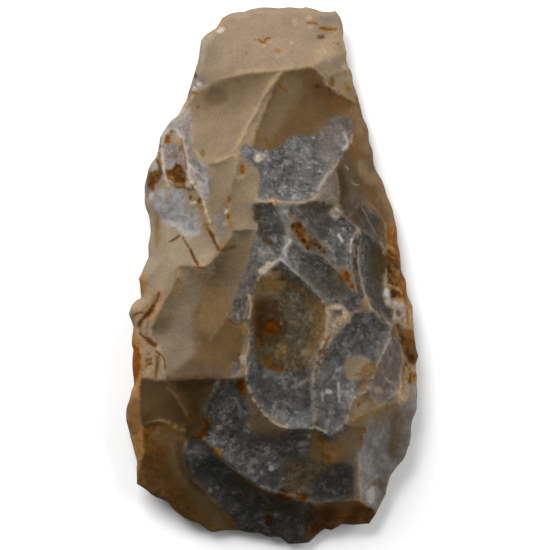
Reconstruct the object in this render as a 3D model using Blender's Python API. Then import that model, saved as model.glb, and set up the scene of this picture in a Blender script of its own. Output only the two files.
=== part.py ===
"""Flint side scraper: one knapped stone, lying on its smooth underside.

The stone is a thin-edged blank that was struck many times from above. Each blow took off a flake
and left a shallow hollow, so the upper side is a patchwork of hollows that meet in ridges. The
underside is one plain shallow bowl with a small flat at its middle, and the stone rests on that.

The plan is drawn in millimetres, with +Y towards the narrow end and the origin under the middle of
the stone's box, and it is turned into metres when the mesh is made.
"""

import bpy
import math
import numpy as np
from mathutils import Vector
from mathutils import noise
from mathutils.geometry import delaunay_2d_cdt

for old in list(bpy.data.objects):
    bpy.data.objects.remove(old, do_unlink=True)

# Driving sizes, in millimetres.
MM = 0.001
RESTING_POINT = (0.5, -6.0)      # the middle of the flat that the stone lies on
BOWL_HALF_WIDTH = 26.0           # the underside reaches BOWL_RISE at this distance across
BOWL_HALF_LENGTH = 60.0          # and at this distance along the stone
BOWL_RISE = 3.4
FLAT_DEPTH = 0.25                # how much of the bowl's lowest part is worn flat
SHOULDER = 17.0                  # the blank reaches its full thickness this far in from its edge
FALL_OUTSIDE = 0.30              # how steeply a drawn surface goes on past the edge
STEEPEST_EDGE = 2.6              # rise over run of the bluntest stretch of the edge
FLATTEST_EDGE = 0.32             # and of the sharpest one
WOBBLE = 0.16                    # how far a struck edge strays from its drawn curve
WOBBLE_LENGTH = 2.6
RIDGE_STEP = 1.2                 # mesh spacing along ridges and the stone's edge
FIELD_STEP = 1.6                 # and between them
UNDERSIDE_STEP = 3.4
CLEARANCE = 0.6                  # how near two points may be, as a share of their spacing
MEETING = 0.3                    # rims nearer than this share of RIDGE_STEP count as one
CREASE = math.radians(12.0)      # a sharper fold than this shows as a ridge
TINY = 1e-9                      # keeps a division from reaching nought
TOUCHING = 1e-4                  # and the same for a point that stands on a side, in square mm

# Full thickness of the blank along its length: distance from the middle, thickness.
THICKNESS = ((-50.0, 7.0), (-40.0, 11.0), (-20.0, 16.5), (0.0, 18.0), (18.0, 17.0), (36.0, 13.0),
             (50.0, 10.0))

# The stone's edge, clockwise from the narrow end's left corner. Each corner has its place and how
# far the side that follows it bows out, so a negative bow is the bite of a small flake.
EDGE = ((-8.7, 46.3, 0.25), (-5.0, 47.1, 0.0), (-3.6, 47.6, 0.05), (0.0, 48.0, -0.25),
        (6.2, 48.15, 0.05), (8.6, 47.25, 0.0), (11.4, 47.1, 0.35), (12.7, 44.2, 0.05),
        (12.7, 42.4, 0.05), (13.5, 39.7, -0.25), (13.5, 37.4, 0.15), (14.5, 35.5, -0.1),
        (14.9, 33.6, 0.0), (15.9, 30.1, 0.0), (16.5, 28.1, 0.2), (17.3, 25.0, 0.0),
        (18.2, 20.6, -0.1), (19.7, 17.1, 0.0), (21.2, 12.8, 0.2), (22.6, 6.0, 0.0),
        (23.2, 1.3, 0.0), (24.3, -3.2, -0.1), (25.1, -5.4, 0.0), (25.4, -10.8, 0.0),
        (26.1, -14.7, -0.1), (25.9, -16.7, 0.1), (26.0, -23.4, -0.1), (25.0, -27.2, -0.1),
        (24.8, -30.3, 0.0), (23.0, -33.8, 0.0), (21.3, -36.0, -0.1), (20.4, -39.2, 0.0),
        (19.4, -41.4, 0.05), (17.4, -44.7, 0.05), (12.6, -44.7, 0.05), (10.7, -45.8, 0.05),
        (9.6, -45.6, -0.1), (6.6, -47.9, 0.2), (2.9, -48.2, 0.0), (1.5, -47.1, 0.0),
        (-0.3, -47.0, 0.0), (-2.6, -46.2, 0.05), (-5.6, -45.7, -0.1), (-10.9, -45.9, 0.1),
        (-13.1, -44.6, 0.0), (-15.6, -43.5, 0.05), (-18.4, -41.2, -0.1), (-21.7, -39.4, 0.0),
        (-24.0, -37.4, 0.15), (-24.1, -33.8, 0.0), (-25.2, -29.4, 0.0), (-26.1, -26.0, 0.2),
        (-25.6, -22.3, 0.0), (-24.8, -19.6, 0.1), (-25.0, -14.2, -0.15), (-25.1, -12.6, 0.0),
        (-25.0, -9.4, 0.0), (-25.6, -6.8, 0.3), (-23.4, -4.2, 0.0), (-23.8, -0.8, 0.0),
        (-22.2, 3.2, 0.0), (-21.7, 8.2, -0.15), (-22.7, 13.2, 0.15), (-22.3, 18.5, 0.1),
        (-20.7, 21.2, 0.0), (-19.9, 24.7, 0.2), (-17.4, 28.2, -0.1), (-15.3, 31.4, 0.0),
        (-14.4, 35.0, 0.0), (-13.2, 38.0, 0.0), (-12.7, 42.0, 0.2), (-10.1, 44.1, -0.2))

# Every hollow, in the order it was struck: what it is, how deep it is below its own rim, how far in
# from the rim it reaches that depth, and its rim, clockwise, as the edge is given. A rim may run off
# the stone.
SCARS = (
    ("narrow end", -1.2, 6.0,
     ((-17.5, 30.5, 0.0), (-17.5, 52.0, 0.0), (17.0, 52.0, 0.0), (17.0, 41.5, 0.0), (13.5, 39.7, 0.0),
      (7.2, 37.1, 0.0), (-1.0, 36.2, -0.25), (-9.0, 35.0, 0.0), (-13.2, 33.0, 0.0))),
    ("right band", 0.7, 3.0,
     ((13.7, 28.4, 0.0), (15.5, 30.8, 0.0), (20.0, 31.0, 0.0), (25.0, 14.0, 0.0), (24.5, 5.0, 0.0),
      (20.2, 5.0, 0.0), (20.1, 9.0, 0.3), (15.6, 13.3, 0.0), (12.0, 13.0, 0.0), (11.0, 18.8, 0.0),
      (13.6, 23.0, 0.1), (14.5, 26.3, 0.1))),
    ("left shoulder", 0.5, 4.0,
     ((-20.4, 19.5, 0.0), (-19.0, 13.5, 0.0), (-19.0, 9.0, 0.0), (-17.1, 1.2, 0.0), (-16.8, -0.6, 0.1),
      (-19.0, -4.6, 0.0), (-20.2, -2.8, 0.0), (-28.0, -4.0, 0.0), (-28.0, 8.0, 0.0),
      (-26.0, 20.0, 0.0))),
    ("folded skin", 0.3, 2.0,
     ((-28.0, -4.0, 0.0), (-20.0, -2.8, 0.0), (-19.0, -4.6, 0.0), (-21.4, -9.3, 0.1),
      (-21.3, -11.0, 0.0), (-19.0, -15.5, 0.1), (-19.4, -18.8, 0.0), (-23.2, -18.6, 0.0),
      (-23.7, -13.0, 0.1), (-25.6, -8.6, 0.0), (-28.0, -8.0, 0.0))),
    ("right skin", 0.3, 2.0,
     ((21.5, -9.0, 0.0), (23.2, -5.0, 0.0), (28.5, -5.0, 0.0), (28.5, -23.0, 0.0),
      (23.6, -22.3, 0.0), (23.3, -15.0, 0.1), (21.4, -11.3, 0.0))),
    ("right margin", 0.5, 2.5,
     ((20.1, 8.8, 0.0), (26.0, 9.0, 0.0), (27.0, -6.0, 0.0), (23.2, -4.6, 0.0), (20.6, -1.0, 0.0),
      (20.2, 3.0, 0.0))),
    ("left strip", 0.3, 1.2,
     ((-26.5, -9.0, 0.0), (-23.7, -12.5, 0.0), (-23.2, -18.6, 0.0), (-23.5, -23.0, -0.1),
      (-22.9, -27.0, 0.1), (-22.8, -32.0, 0.1), (-24.3, -35.2, 0.0), (-28.5, -35.0, 0.0),
      (-28.5, -10.0, 0.0))),
    ("patina band", 0.5, 2.0,
     ((-17.6, 28.0, 0.0), (-15.0, 31.6, 0.0), (-14.2, 22.3, 0.1), (-12.6, 20.3, 0.0),
      (-11.4, 17.0, 0.1), (-12.5, 13.6, 0.0), (-13.2, 16.6, -0.1), (-15.2, 20.0, 0.1),
      (-16.1, 24.2, 0.1), (-17.0, 26.0, 0.0))),
    ("rusty hollow", 0.9, 1.6,
     ((-19.4, 24.6, 0.1), (-18.2, 26.1, 0.1), (-16.8, 25.9, 0.1), (-15.4, 21.0, 0.0),
      (-14.4, 16.6, 0.0), (-15.4, 15.2, 0.1), (-18.8, 17.0, 0.0), (-19.6, 20.5, 0.1))),
    ("left high facet", 0.6, 3.5,
     ((-19.0, 13.5, 0.0), (-18.4, 16.4, 0.1), (-13.0, 15.0, 0.0), (-11.6, 9.3, 0.0), (-9.1, 4.2, 0.0),
      (-11.6, 1.8, 0.1), (-16.3, 1.6, 0.0), (-17.1, 1.2, 0.0), (-19.0, 9.0, 0.0))),
    ("left waist", 1.3, 5.5,
     ((-14.9, 31.2, 0.1), (-13.2, 33.0, 0.1), (-9.0, 35.0, 0.25), (-1.0, 36.25, 0.0),
      (1.9, 36.3, 0.0), (-1.0, 32.3, 0.0), (-4.2, 26.2, 0.0), (-7.0, 21.6, 0.1), (-9.5, 20.0, 0.1),
      (-12.6, 20.3, 0.1), (-14.2, 22.4, 0.1))),
    ("right waist", 1.7, 6.0,
     ((1.9, 36.35, 0.05), (7.2, 37.05, 0.4), (9.9, 33.9, -0.2), (15.6, 30.7, 0.1), (13.7, 28.4, 0.0),
      (14.5, 26.3, 0.1), (13.6, 23.0, 0.0), (10.8, 19.0, 0.0), (7.4, 13.4, 0.1), (4.5, 12.7, 0.0),
      (0.0, 13.2, 0.0), (-2.6, 13.0, 0.0), (-7.0, 21.6, 0.0), (-4.2, 26.2, 0.0), (-1.0, 32.3, 0.0))),
    ("pink chip", 0.5, 1.6,
     ((9.9, 34.4, 0.1), (10.7, 36.0, 0.1), (13.9, 36.6, 0.0), (17.0, 36.0, 0.0), (18.0, 30.0, 0.0),
      (15.6, 30.6, 0.0), (11.8, 32.4, 0.1))),
    ("tan left", 0.7, 3.0,
     ((-11.4, 19.9, 0.0), (-9.5, 20.0, 0.0), (-7.0, 21.4, 0.0), (-5.9, 20.2, 0.0), (-7.7, 13.5, 0.1),
      (-7.5, 10.5, 0.0), (-6.8, 8.1, 0.0), (-9.1, 4.2, 0.0), (-11.6, 9.3, 0.0), (-12.6, 13.4, 0.0),
      (-11.4, 16.5, 0.0))),
    ("tan right", 0.7, 2.6,
     ((-5.9, 20.2, 0.0), (-4.6, 20.9, 0.2), (-2.3, 18.0, 0.1), (-2.1, 15.0, 0.0), (-3.3, 12.4, 0.0),
      (-2.8, 8.0, 0.0), (-6.8, 8.1, 0.0), (-7.5, 10.5, 0.0), (-7.7, 13.5, 0.1))),
    ("great hollow", 1.9, 8.0,
     ((-17.1, 1.3, 0.0), (-16.3, 1.65, 0.0), (-11.8, 1.6, -0.2), (-9.1, 4.2, 0.0), (-6.8, 8.1, 0.0),
      (-2.8, 8.0, 0.0), (-2.4, 3.0, 0.0), (-2.9, -1.5, 0.0), (-3.7, -8.0, 0.0), (-4.9, -14.0, 0.0),
      (-5.0, -16.8, 0.1), (-6.5, -18.2, 0.0), (-9.0, -18.5, 0.0), (-19.3, -18.6, 0.0),
      (-19.0, -16.0, 0.1), (-21.3, -11.4, 0.1), (-21.4, -9.3, 0.0), (-19.0, -4.6, 0.0),
      (-16.8, -0.6, 0.0))),
    ("lower hollow", 1.3, 6.0,
     ((-9.0, -18.5, 0.0), (-6.5, -18.2, 0.0), (-4.7, -18.0, 0.0), (3.0, -27.4, 0.0),
      (7.6, -27.4, 0.0), (10.3, -28.9, 0.0), (13.2, -26.8, 0.0), (16.6, -27.2, 0.0),
      (15.4, -33.0, 0.1), (15.6, -40.4, 0.0), (7.0, -40.8, 0.2), (-2.0, -38.0, 0.2),
      (-9.0, -32.5, 0.0), (-11.5, -29.9, 0.0), (-12.6, -28.6, 0.0), (-11.4, -26.5, 0.0),
      (-11.9, -24.5, 0.0), (-11.0, -22.0, 0.0))),
    ("dark step left", 0.6, 3.0,
     ((-23.2, -18.7, 0.0), (-19.0, -18.9, 0.0), (-17.3, -21.5, 0.0), (-14.6, -26.5, 0.1),
      (-17.0, -27.4, 0.1), (-20.2, -26.0, 0.0), (-22.9, -27.0, 0.0), (-23.5, -23.0, 0.0))),
    ("dark step right", 0.9, 3.2,
     ((-19.0, -18.8, 0.0), (-9.0, -18.6, -0.1), (-11.9, -24.5, 0.0), (-11.4, -26.5, 0.2),
      (-12.6, -28.6, 0.2), (-14.4, -28.7, 0.1), (-14.6, -26.5, 0.0), (-17.3, -21.5, 0.0))),
    ("ochre facet", 1.0, 5.0,
     ((-22.9, -27.0, 0.0), (-20.2, -26.0, 0.0), (-17.0, -27.4, 0.0), (-14.4, -28.7, 0.0),
      (-15.8, -32.0, 0.2), (-14.4, -36.6, 0.1), (-9.0, -42.0, 0.1), (-7.0, -45.6, 0.0),
      (-7.0, -50.0, 0.0), (-28.0, -43.0, 0.0), (-28.0, -38.0, 0.0), (-24.3, -35.2, 0.0),
      (-22.8, -32.0, 0.1))),
    ("bottom band", 1.0, 5.0,
     ((-15.8, -32.0, 0.1), (-14.4, -28.8, 0.2), (-11.5, -29.9, 0.0), (-9.0, -32.5, 0.0),
      (-2.0, -38.0, -0.2), (7.0, -40.8, 0.0), (8.5, -51.0, 0.0), (-7.0, -50.0, 0.0),
      (-7.0, -45.6, 0.0), (-9.0, -42.0, -0.1), (-14.4, -36.6, 0.0))),
    ("honey toe", 0.8, 3.0,
     ((7.0, -40.8, 0.0), (15.6, -40.4, 0.0), (18.3, -42.0, 0.0), (21.0, -48.0, 0.0),
      (8.5, -51.0, 0.0))),
    ("glassy facet", 1.1, 4.5,
     ((16.6, -27.2, 0.0), (18.8, -24.2, 0.1), (21.0, -22.6, 0.1), (23.6, -22.3, 0.0),
      (29.0, -22.0, 0.0), (29.0, -33.0, 0.0), (23.0, -41.0, 0.0), (20.3, -38.0, 0.0),
      (18.8, -36.1, 0.0), (15.9, -39.0, 0.0), (15.4, -33.0, 0.1))),
    ("glassy chip", 0.5, 1.8,
     ((16.0, -38.9, 0.0), (18.8, -36.1, 0.0), (20.3, -37.4, 0.0), (23.0, -41.0, 0.0),
      (20.0, -45.0, 0.0), (18.3, -42.0, 0.0), (15.6, -40.4, 0.0))),
    ("far right hollow", 0.6, 2.2,
     ((17.3, -19.4, 0.0), (18.9, -16.8, 0.0), (21.4, -11.3, 0.2), (23.0, -12.6, 0.1),
      (23.4, -17.0, 0.1), (23.0, -20.4, 0.1), (19.3, -23.4, 0.1), (17.2, -21.5, 0.1))),
    ("clear chip", 0.5, 2.0,
     ((13.4, 10.2, 0.0), (15.8, 13.2, 0.3), (20.1, 8.4, 0.2), (20.1, 6.4, 0.1), (18.8, 6.2, 0.0),
      (15.5, 8.2, 0.0))),
    ("dark crescent", 0.9, 2.0,
     ((-3.3, 12.6, 0.1), (-0.5, 12.9, 0.2), (1.2, 11.4, 0.0), (2.8, 7.5, 0.1), (2.4, 4.6, 0.1),
      (0.9, 2.6, 0.0), (-1.9, 4.0, 0.0), (-3.2, 9.0, 0.1))),
    ("middle hollow", 0.9, 2.6,
     ((4.2, 12.2, 0.1), (7.5, 13.2, 0.0), (10.4, 12.7, 0.0), (13.4, 10.1, 0.0), (15.4, 8.1, 0.0),
      (14.0, 5.5, 0.0), (13.5, 2.5, 0.0), (10.5, 4.5, 0.0), (8.6, 5.8, 0.0), (6.3, 9.3, 0.0))),
    ("blue hollow", 0.9, 2.6,
     ((3.4, 6.2, 0.0), (5.8, 4.2, 0.0), (9.3, 3.2, 0.0), (12.3, 0.0, 0.1), (14.5, -3.4, 0.1),
      (12.3, -4.6, 0.1), (9.7, -4.3, 0.0), (6.3, -1.2, 0.0), (3.2, 1.9, 0.0), (1.3, 2.8, 0.1))),
    ("long finger", 1.0, 2.0,
     ((15.8, 8.1, 0.0), (18.8, 6.3, 0.1), (20.2, 4.5, 0.1), (20.3, -3.8, 0.0), (21.9, -5.5, 0.3),
      (21.4, -8.9, 0.0), (19.0, -7.6, 0.2), (16.6, -4.0, 0.1), (15.2, 0.5, 0.1), (14.9, 4.5, 0.1))),
    ("great oval", 1.8, 5.0,
     ((-2.7, -1.0, 0.1), (0.0, 1.2, 0.0), (1.5, 2.4, 0.0), (3.2, 1.7, 0.0), (6.3, -1.5, 0.1),
      (9.2, -4.8, 0.2), (9.9, -7.5, 0.2), (9.3, -11.5, 0.1), (7.4, -16.5, 0.0), (7.6, -24.0, 0.0),
      (7.5, -27.2, 0.1), (3.0, -27.4, 0.4), (-1.5, -24.7, 0.2), (-4.4, -20.0, 0.2),
      (-4.6, -16.0, 0.0), (-3.7, -8.0, 0.0))),
    ("right oval", 1.3, 4.0,
     ((14.2, -6.6, 0.1), (18.2, -6.6, 0.0), (21.3, -8.9, 0.1), (21.3, -11.0, 0.0),
      (18.9, -16.5, 0.0), (17.2, -20.5, 0.0), (14.4, -22.0, 0.0), (13.2, -26.8, 0.1),
      (10.3, -28.8, 0.1), (7.9, -26.8, 0.1), (7.7, -20.0, 0.0), (8.4, -16.3, 0.0),
      (10.6, -11.3, 0.0), (13.9, -8.0, 0.0))),
)


def stray(points):
    """Moves drawn points by a smooth noise, the same for every line that passes through a place."""
    shift = []
    for x, y in points:
        at = Vector((x / WOBBLE_LENGTH, y / WOBBLE_LENGTH, 0.0))
        shift.append((noise.noise(at), noise.noise(at + Vector((0.0, 0.0, 17.0)))))
    return points + 2.0 * WOBBLE * np.array(shift)


def bowed_loop(corners, step):
    """Points round a closed outline, about a step apart, whose sides bow as the corners say."""
    places = np.array([corner[:2] for corner in corners])
    following = np.roll(places, -1, axis=0)
    points = []
    for (x, y, bow), end in zip(corners, following):
        start = np.array((x, y))
        side = end - start
        length = math.hypot(*side)
        outwards = np.array((-side[1], side[0])) / length
        count = max(1, round(length / step))
        for i in range(count):
            t = i / count
            points.append(start + side * t + outwards * (4.0 * bow * t * (1.0 - t)))
    return stray(np.array(points))


def inside(points, loop):
    """Whether each point lies inside the loop, by counting the sides it passes."""
    x, y = points[:, :1], points[:, 1:]
    x0, y0 = loop.T
    x1, y1 = np.roll(loop, -1, axis=0).T
    rise = np.where(y1 == y0, TINY, y1 - y0)
    passes = ((y0 > y) != (y1 > y)) & (x < x0 + (y - y0) * (x1 - x0) / rise)
    return passes.sum(axis=1) % 2 == 1


def distance(points, loop):
    """How far each point is from the nearest side of the loop."""
    side = np.roll(loop, -1, axis=0) - loop
    squared = np.maximum((side ** 2).sum(axis=1), TINY)
    away = points[:, None, :] - loop[None, :, :]
    along = np.clip((away * side).sum(axis=2) / squared, 0.0, 1.0)
    gap = away - along[:, :, None] * side
    return np.sqrt((gap ** 2).sum(axis=2).min(axis=1))


def depth_in(points, loop):
    """How deep inside the loop each point is: its distance near a side, and smooth further in."""
    spoke = loop[None, :, :] - points[:, None, :]
    side = np.roll(loop, -1, axis=0) - loop
    length = np.maximum(np.sqrt((side ** 2).sum(axis=1)), TINY)
    along = (spoke * side).sum(axis=2) / length
    squared = np.maximum((spoke ** 2).sum(axis=2), TINY)
    clear = np.maximum(squared - along ** 2, 0.0)
    end = along + length
    seen = end / np.sqrt(clear + end ** 2 + TINY) - along / np.sqrt(squared)
    return 1.0 / np.sqrt(0.5 * (seen / (clear + TOUCHING)).sum(axis=1) + TINY)


def stretched(points, loop, rim):
    """The height of a skin stretched across the loop, whose points stand at the rim heights."""
    spoke = loop[None, :, :] - points[:, None, :]
    following = np.roll(spoke, -1, axis=1)
    reach = np.maximum(np.sqrt((spoke ** 2).sum(axis=2)), TINY)
    next_reach = np.roll(reach, -1, axis=1)
    turn = spoke[:, :, 0] * following[:, :, 1] - spoke[:, :, 1] * following[:, :, 0]
    turn = np.where(np.abs(turn) < TINY, TINY, turn)
    half_angle = (reach * next_reach - (spoke * following).sum(axis=2)) / turn
    weight = (half_angle + np.roll(half_angle, 1, axis=1)) / reach
    return (weight * rim).sum(axis=1) / weight.sum(axis=1)


def underside(points):
    """Height of the underside: a shallow bowl with its lowest part flat."""
    across = (points[:, 0] - RESTING_POINT[0]) / BOWL_HALF_WIDTH
    along = (points[:, 1] - RESTING_POINT[1]) / BOWL_HALF_LENGTH
    return np.maximum(BOWL_RISE * (across ** 2 + along ** 2) - FLAT_DEPTH, 0.0)


def edge_distance(points):
    """Distance in from the stone's edge, negative outside it."""
    return np.where(inside(points, edge), 1.0, -1.0) * distance(points, edge)


def edge_depth(points):
    """Depth in from the stone's edge, smooth over the middle of the stone, negative outside it."""
    return np.where(inside(points, edge), 1.0, -1.0) * depth_in(points, edge)


def blank(points):
    """Height of the blank's upper side before any blow."""
    stations, sizes = np.array(THICKNESS).T
    full = np.interp(points[:, 1], stations, sizes)
    inwards = edge_depth(points) / SHOULDER
    swell = np.where(inwards < 0.0, FALL_OUTSIDE * inwards,
                     1.0 - (1.0 - np.minimum(inwards, 1.0)) ** 2)
    return underside(points) + full * swell


def strike(points, height, scar):
    """Lowers the heights inside one scar's rim to a hollow hung from that rim."""
    depth, reach, loop, rim = scar
    hit = inside(points, loop)
    if hit.any():
        struck = points[hit]
        inwards = np.minimum(depth_in(struck, loop) / reach, 1.0)
        height[hit] = stretched(struck, loop, rim) - depth * (1.0 - (1.0 - inwards) ** 2)
    return height


def upper_side(points, scars):
    """Height of the upper side after the given scars, kept between the bluntest and sharpest edge."""
    height = blank(points)
    for scar in scars:
        height = strike(points, height, scar)
    return height


edge = bowed_loop(EDGE, RIDGE_STEP)
scars = []
for name, depth, reach, corners in SCARS:
    loop = bowed_loop(corners, RIDGE_STEP)
    scars.append((depth, reach, loop, upper_side(loop, scars)))


def thinned(points, gap):
    """The points in order, without any that is closer than the gap to one already taken."""
    taken = []
    for point in points:
        if not taken or ((np.array(taken) - point) ** 2).sum(axis=1).min() > gap ** 2:
            taken.append(point)
    return np.array(taken)


def ridge_points():
    """Points along the rims that later blows left standing, well inside the stone."""
    kept = []
    for number, (depth, reach, loop, rim) in enumerate(scars):
        standing = edge_distance(loop) > CLEARANCE * RIDGE_STEP
        for later in scars[number + 1:]:
            standing &= ~inside(loop, later[2]) | (distance(loop, later[2]) < MEETING * RIDGE_STEP)
        kept.extend(loop[standing])
    return thinned(np.array(kept), CLEARANCE * RIDGE_STEP)


def field_points(step, lines):
    """A triangular field of points inside the stone, clear of its edge and of the given points."""
    left, front = edge.min(axis=0)
    right, back = edge.max(axis=0)
    rows = []
    for row, y in enumerate(np.arange(front, back, step * math.sin(math.pi / 3.0))):
        for x in np.arange(left + 0.5 * step * (row % 2), right, step):
            rows.append((x, y))
    field = np.array(rows)
    field = field[edge_distance(field) > CLEARANCE * step]
    if len(lines):
        gaps = np.sqrt(((field[:, None, :] - lines[None, :, :]) ** 2).sum(axis=2)).min(axis=1)
        field = field[gaps > CLEARANCE * step]
    return field


def sheet(inner):
    """Triangles over the stone's plan, whose first vertices go round the edge."""
    plan = [Vector(point) for point in edge] + [Vector(point) for point in inner]
    rim = [list(range(len(edge)))]
    places, _, faces, origins, _, _ = delaunay_2d_cdt(plan, [], rim, 1, TOUCHING)
    number = [origin[0] for origin in origins]
    triangles = []
    for face in faces:
        a, b, c = (places[i] for i in face)
        corners = [number[i] for i in face]
        if (b - a).cross(c - a) < 0.0:
            corners.reverse()
        triangles.append(corners)
    return triangles


def build_stone():
    """One closed mesh: the struck upper side, the bowl under it and the edge where they meet."""
    ridges = ridge_points()
    above = np.vstack((ridges, field_points(FIELD_STEP, ridges)))
    below = field_points(UNDERSIDE_STEP, np.empty((0, 2)))
    inwards = edge_depth(above)
    floor = underside(above)
    top = np.clip(upper_side(above, scars), floor + FLATTEST_EDGE * inwards,
                  floor + STEEPEST_EDGE * inwards)
    vertices = [(x, y, z) for (x, y), z in zip(edge, underside(edge))]
    vertices += [(x, y, z) for (x, y), z in zip(above, top)]
    vertices += [(x, y, z) for (x, y), z in zip(below, underside(below))]
    first_below = len(edge) + len(above)
    faces = [tuple(face) for face in sheet(above)]
    for face in sheet(below):
        moved = [i if i < len(edge) else i - len(edge) + first_below for i in face]
        faces.append(tuple(reversed(moved)))
    mesh = bpy.data.meshes.new("flint_scraper")
    mesh.from_pydata([tuple(MM * value for value in place) for place in vertices], [], faces)
    mesh.update()
    stone = bpy.data.objects.new("flint_scraper", mesh)
    bpy.context.scene.collection.objects.link(stone)
    return stone


def flint_material():
    """Dull brown-grey flint."""
    material = bpy.data.materials.new("flint")
    material.use_nodes = True
    surface = material.node_tree.nodes["Principled BSDF"]
    surface.inputs["Base Color"].default_value = (0.16, 0.12, 0.08, 1.0)
    surface.inputs["Roughness"].default_value = 0.45
    surface.inputs["Metallic"].default_value = 0.0
    return material


stone = build_stone()
stone.data.materials.append(flint_material())
stone.data.shade_smooth()
stone.data.set_sharp_from_angle(angle=CREASE)
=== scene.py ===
import bpy
import math
import numpy as np
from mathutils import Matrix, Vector
from mathutils import kdtree
from mathutils import noise
from mathutils.geometry import delaunay_2d_cdt


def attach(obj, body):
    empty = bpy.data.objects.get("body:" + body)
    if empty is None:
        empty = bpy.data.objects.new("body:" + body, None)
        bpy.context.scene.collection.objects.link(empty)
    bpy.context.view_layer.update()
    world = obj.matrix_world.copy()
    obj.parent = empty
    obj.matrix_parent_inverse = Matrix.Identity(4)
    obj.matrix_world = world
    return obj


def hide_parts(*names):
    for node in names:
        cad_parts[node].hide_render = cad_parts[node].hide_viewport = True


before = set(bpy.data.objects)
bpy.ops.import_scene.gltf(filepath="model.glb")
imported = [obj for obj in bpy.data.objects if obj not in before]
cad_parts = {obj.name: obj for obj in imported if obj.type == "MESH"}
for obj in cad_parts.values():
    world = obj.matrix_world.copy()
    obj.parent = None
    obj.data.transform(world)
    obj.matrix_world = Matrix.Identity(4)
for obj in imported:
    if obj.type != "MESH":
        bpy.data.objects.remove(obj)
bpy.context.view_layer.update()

# =============================================================================================
# The blank. A thick flake of flint, struck off a bigger lump in one blow. Its underside is that
# blow's plain, slightly bowled face, which the stone lies on. Its edge is thin and uneven.
# The plan is in millimetres, +Y towards the narrow end.
# =============================================================================================
TINY = 1e-9
TOUCHING = 1e-4                  # keeps a point on a line from dividing by nought, in square mm
BATCH = 1500                     # points worked on at a time, to spare memory

RESTING_POINT = np.array((0.5, -6.0))
BOWL_HALF_WIDTH = 26.0           # the underside reaches BOWL_RISE at this distance across
BOWL_HALF_LENGTH = 60.0          # and at this distance along the stone
BOWL_RISE = 3.4
FLAT_DEPTH = 0.25                # how much of the bowl's lowest part is worn flat
SHOULDER = 17.0                  # the blank reaches its full thickness this far in from its edge
FALL_OUTSIDE = 0.3               # how steeply a drawn surface goes on past the edge
WOBBLE = 0.32                    # the most that a struck edge strays from its drawn curve
WOBBLE_LENGTH = 2.6
WOBBLE_LAYERS = (0.0, 17.0)      # where the noise is read for each of the two directions
RIM_STEP = 0.6                   # spacing of the points that a rim is worked out at

# Full thickness of the blank along its length: distance from the middle, thickness.
THICKNESS = ((-50.0, 7.0), (-40.0, 11.0), (-20.0, 16.5), (0.0, 18.0), (18.0, 17.0), (36.0, 13.0),
             (50.0, 10.0))

# The stone's edge, clockwise from the narrow end's left corner. Each corner has its place and,
# where the side that follows it isn't straight, how far that side bows out, so a negative bow is
# the bite of a small flake.
EDGE = (
    (-8.7, 46.3, 0.25), (-5, 47.1), (-3.6, 47.6, 0.05), (0, 48, -0.25), (6.2, 48.15, 0.05),
    (8.6, 47.25), (11.4, 47.1, 0.35), (12.7, 44.2, 0.05), (12.7, 42.4, 0.05), (13.5, 39.7, -0.25),
    (13.5, 37.4, 0.15), (14.5, 35.5, -0.1), (14.9, 33.6), (15.9, 30.1), (16.5, 28.1, 0.2), (17.3, 25),
    (18.2, 20.6, -0.1), (19.7, 17.1), (21.2, 12.8, 0.2), (22.6, 6), (23.2, 1.3), (24.3, -3.2, -0.1),
    (25.1, -5.4), (25.4, -10.8), (26.1, -14.7, -0.1), (25.9, -16.7, 0.1), (26, -23.4, -0.1),
    (25, -27.2, -0.1), (24.8, -30.3), (23, -33.8), (21.3, -36, -0.1), (20.4, -39.2),
    (19.4, -41.4, 0.05), (17.4, -44.7, 0.05), (12.6, -44.7, 0.05), (10.7, -45.8, 0.05),
    (9.6, -45.6, -0.1), (6.6, -47.9, 0.2), (2.9, -48.2), (1.5, -47.1), (-0.3, -47), (-2.6, -46.2, 0.05),
    (-5.6, -45.7, -0.1), (-10.9, -45.9, 0.1), (-13.1, -44.6), (-15.6, -43.5, 0.05),
    (-18.4, -41.2, -0.1), (-21.7, -39.4), (-24, -37.4, 0.15), (-24.1, -33.8), (-25.2, -29.4),
    (-26.1, -26, 0.2), (-25.6, -22.3), (-24.8, -19.6, 0.1), (-25, -14.2, -0.15), (-25.1, -12.6),
    (-25, -9.4), (-25.6, -7, 0.1), (-25.1, -5.4, 0.15), (-23.4, -4.2), (-23.8, -0.8), (-22.2, 3.2),
    (-21.7, 8.2, -0.15), (-22.7, 13.2, 0.15), (-22.3, 18.5, 0.1), (-20.7, 21.2), (-19.9, 24.7, 0.2),
    (-17.4, 28.2, -0.1), (-15.3, 31.4), (-14.4, 35), (-13.2, 38), (-12.7, 42, 0.2), (-10.1, 44.1, -0.2)
)


def stray(points):
    """Moves drawn points by a smooth noise, the same for every line that passes through a place."""
    shift = [[noise.noise(Vector((x / WOBBLE_LENGTH, y / WOBBLE_LENGTH, layer)))
              for layer in WOBBLE_LAYERS] for x, y in points]
    return points + WOBBLE * np.array(shift)


def bowed_loop(corners, step):
    """Points round a closed outline, about a step apart, whose sides bow as the corners say."""
    places = np.array([corner[:2] for corner in corners], float)
    following = np.roll(places, -1, axis=0)
    points = []
    for (_, _, *bow), start, end in zip(corners, places, following):
        height = bow[0] if bow else 0.0
        side = end - start
        length = math.hypot(*side)
        outwards = np.array((-side[1], side[0])) / length
        count = max(1, round(length / step))
        for i in range(count):
            t = i / count
            points.append(start + side * t + outwards * (4.0 * height * t * (1.0 - t)))
    return stray(np.array(points))


def in_batches(work, points, *others):
    """What the work gives for all the points, done a batch at a time."""
    parts = [work(points[i:i + BATCH], *others) for i in range(0, len(points), BATCH)]
    return np.concatenate(parts) if parts else np.zeros(0)


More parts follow.
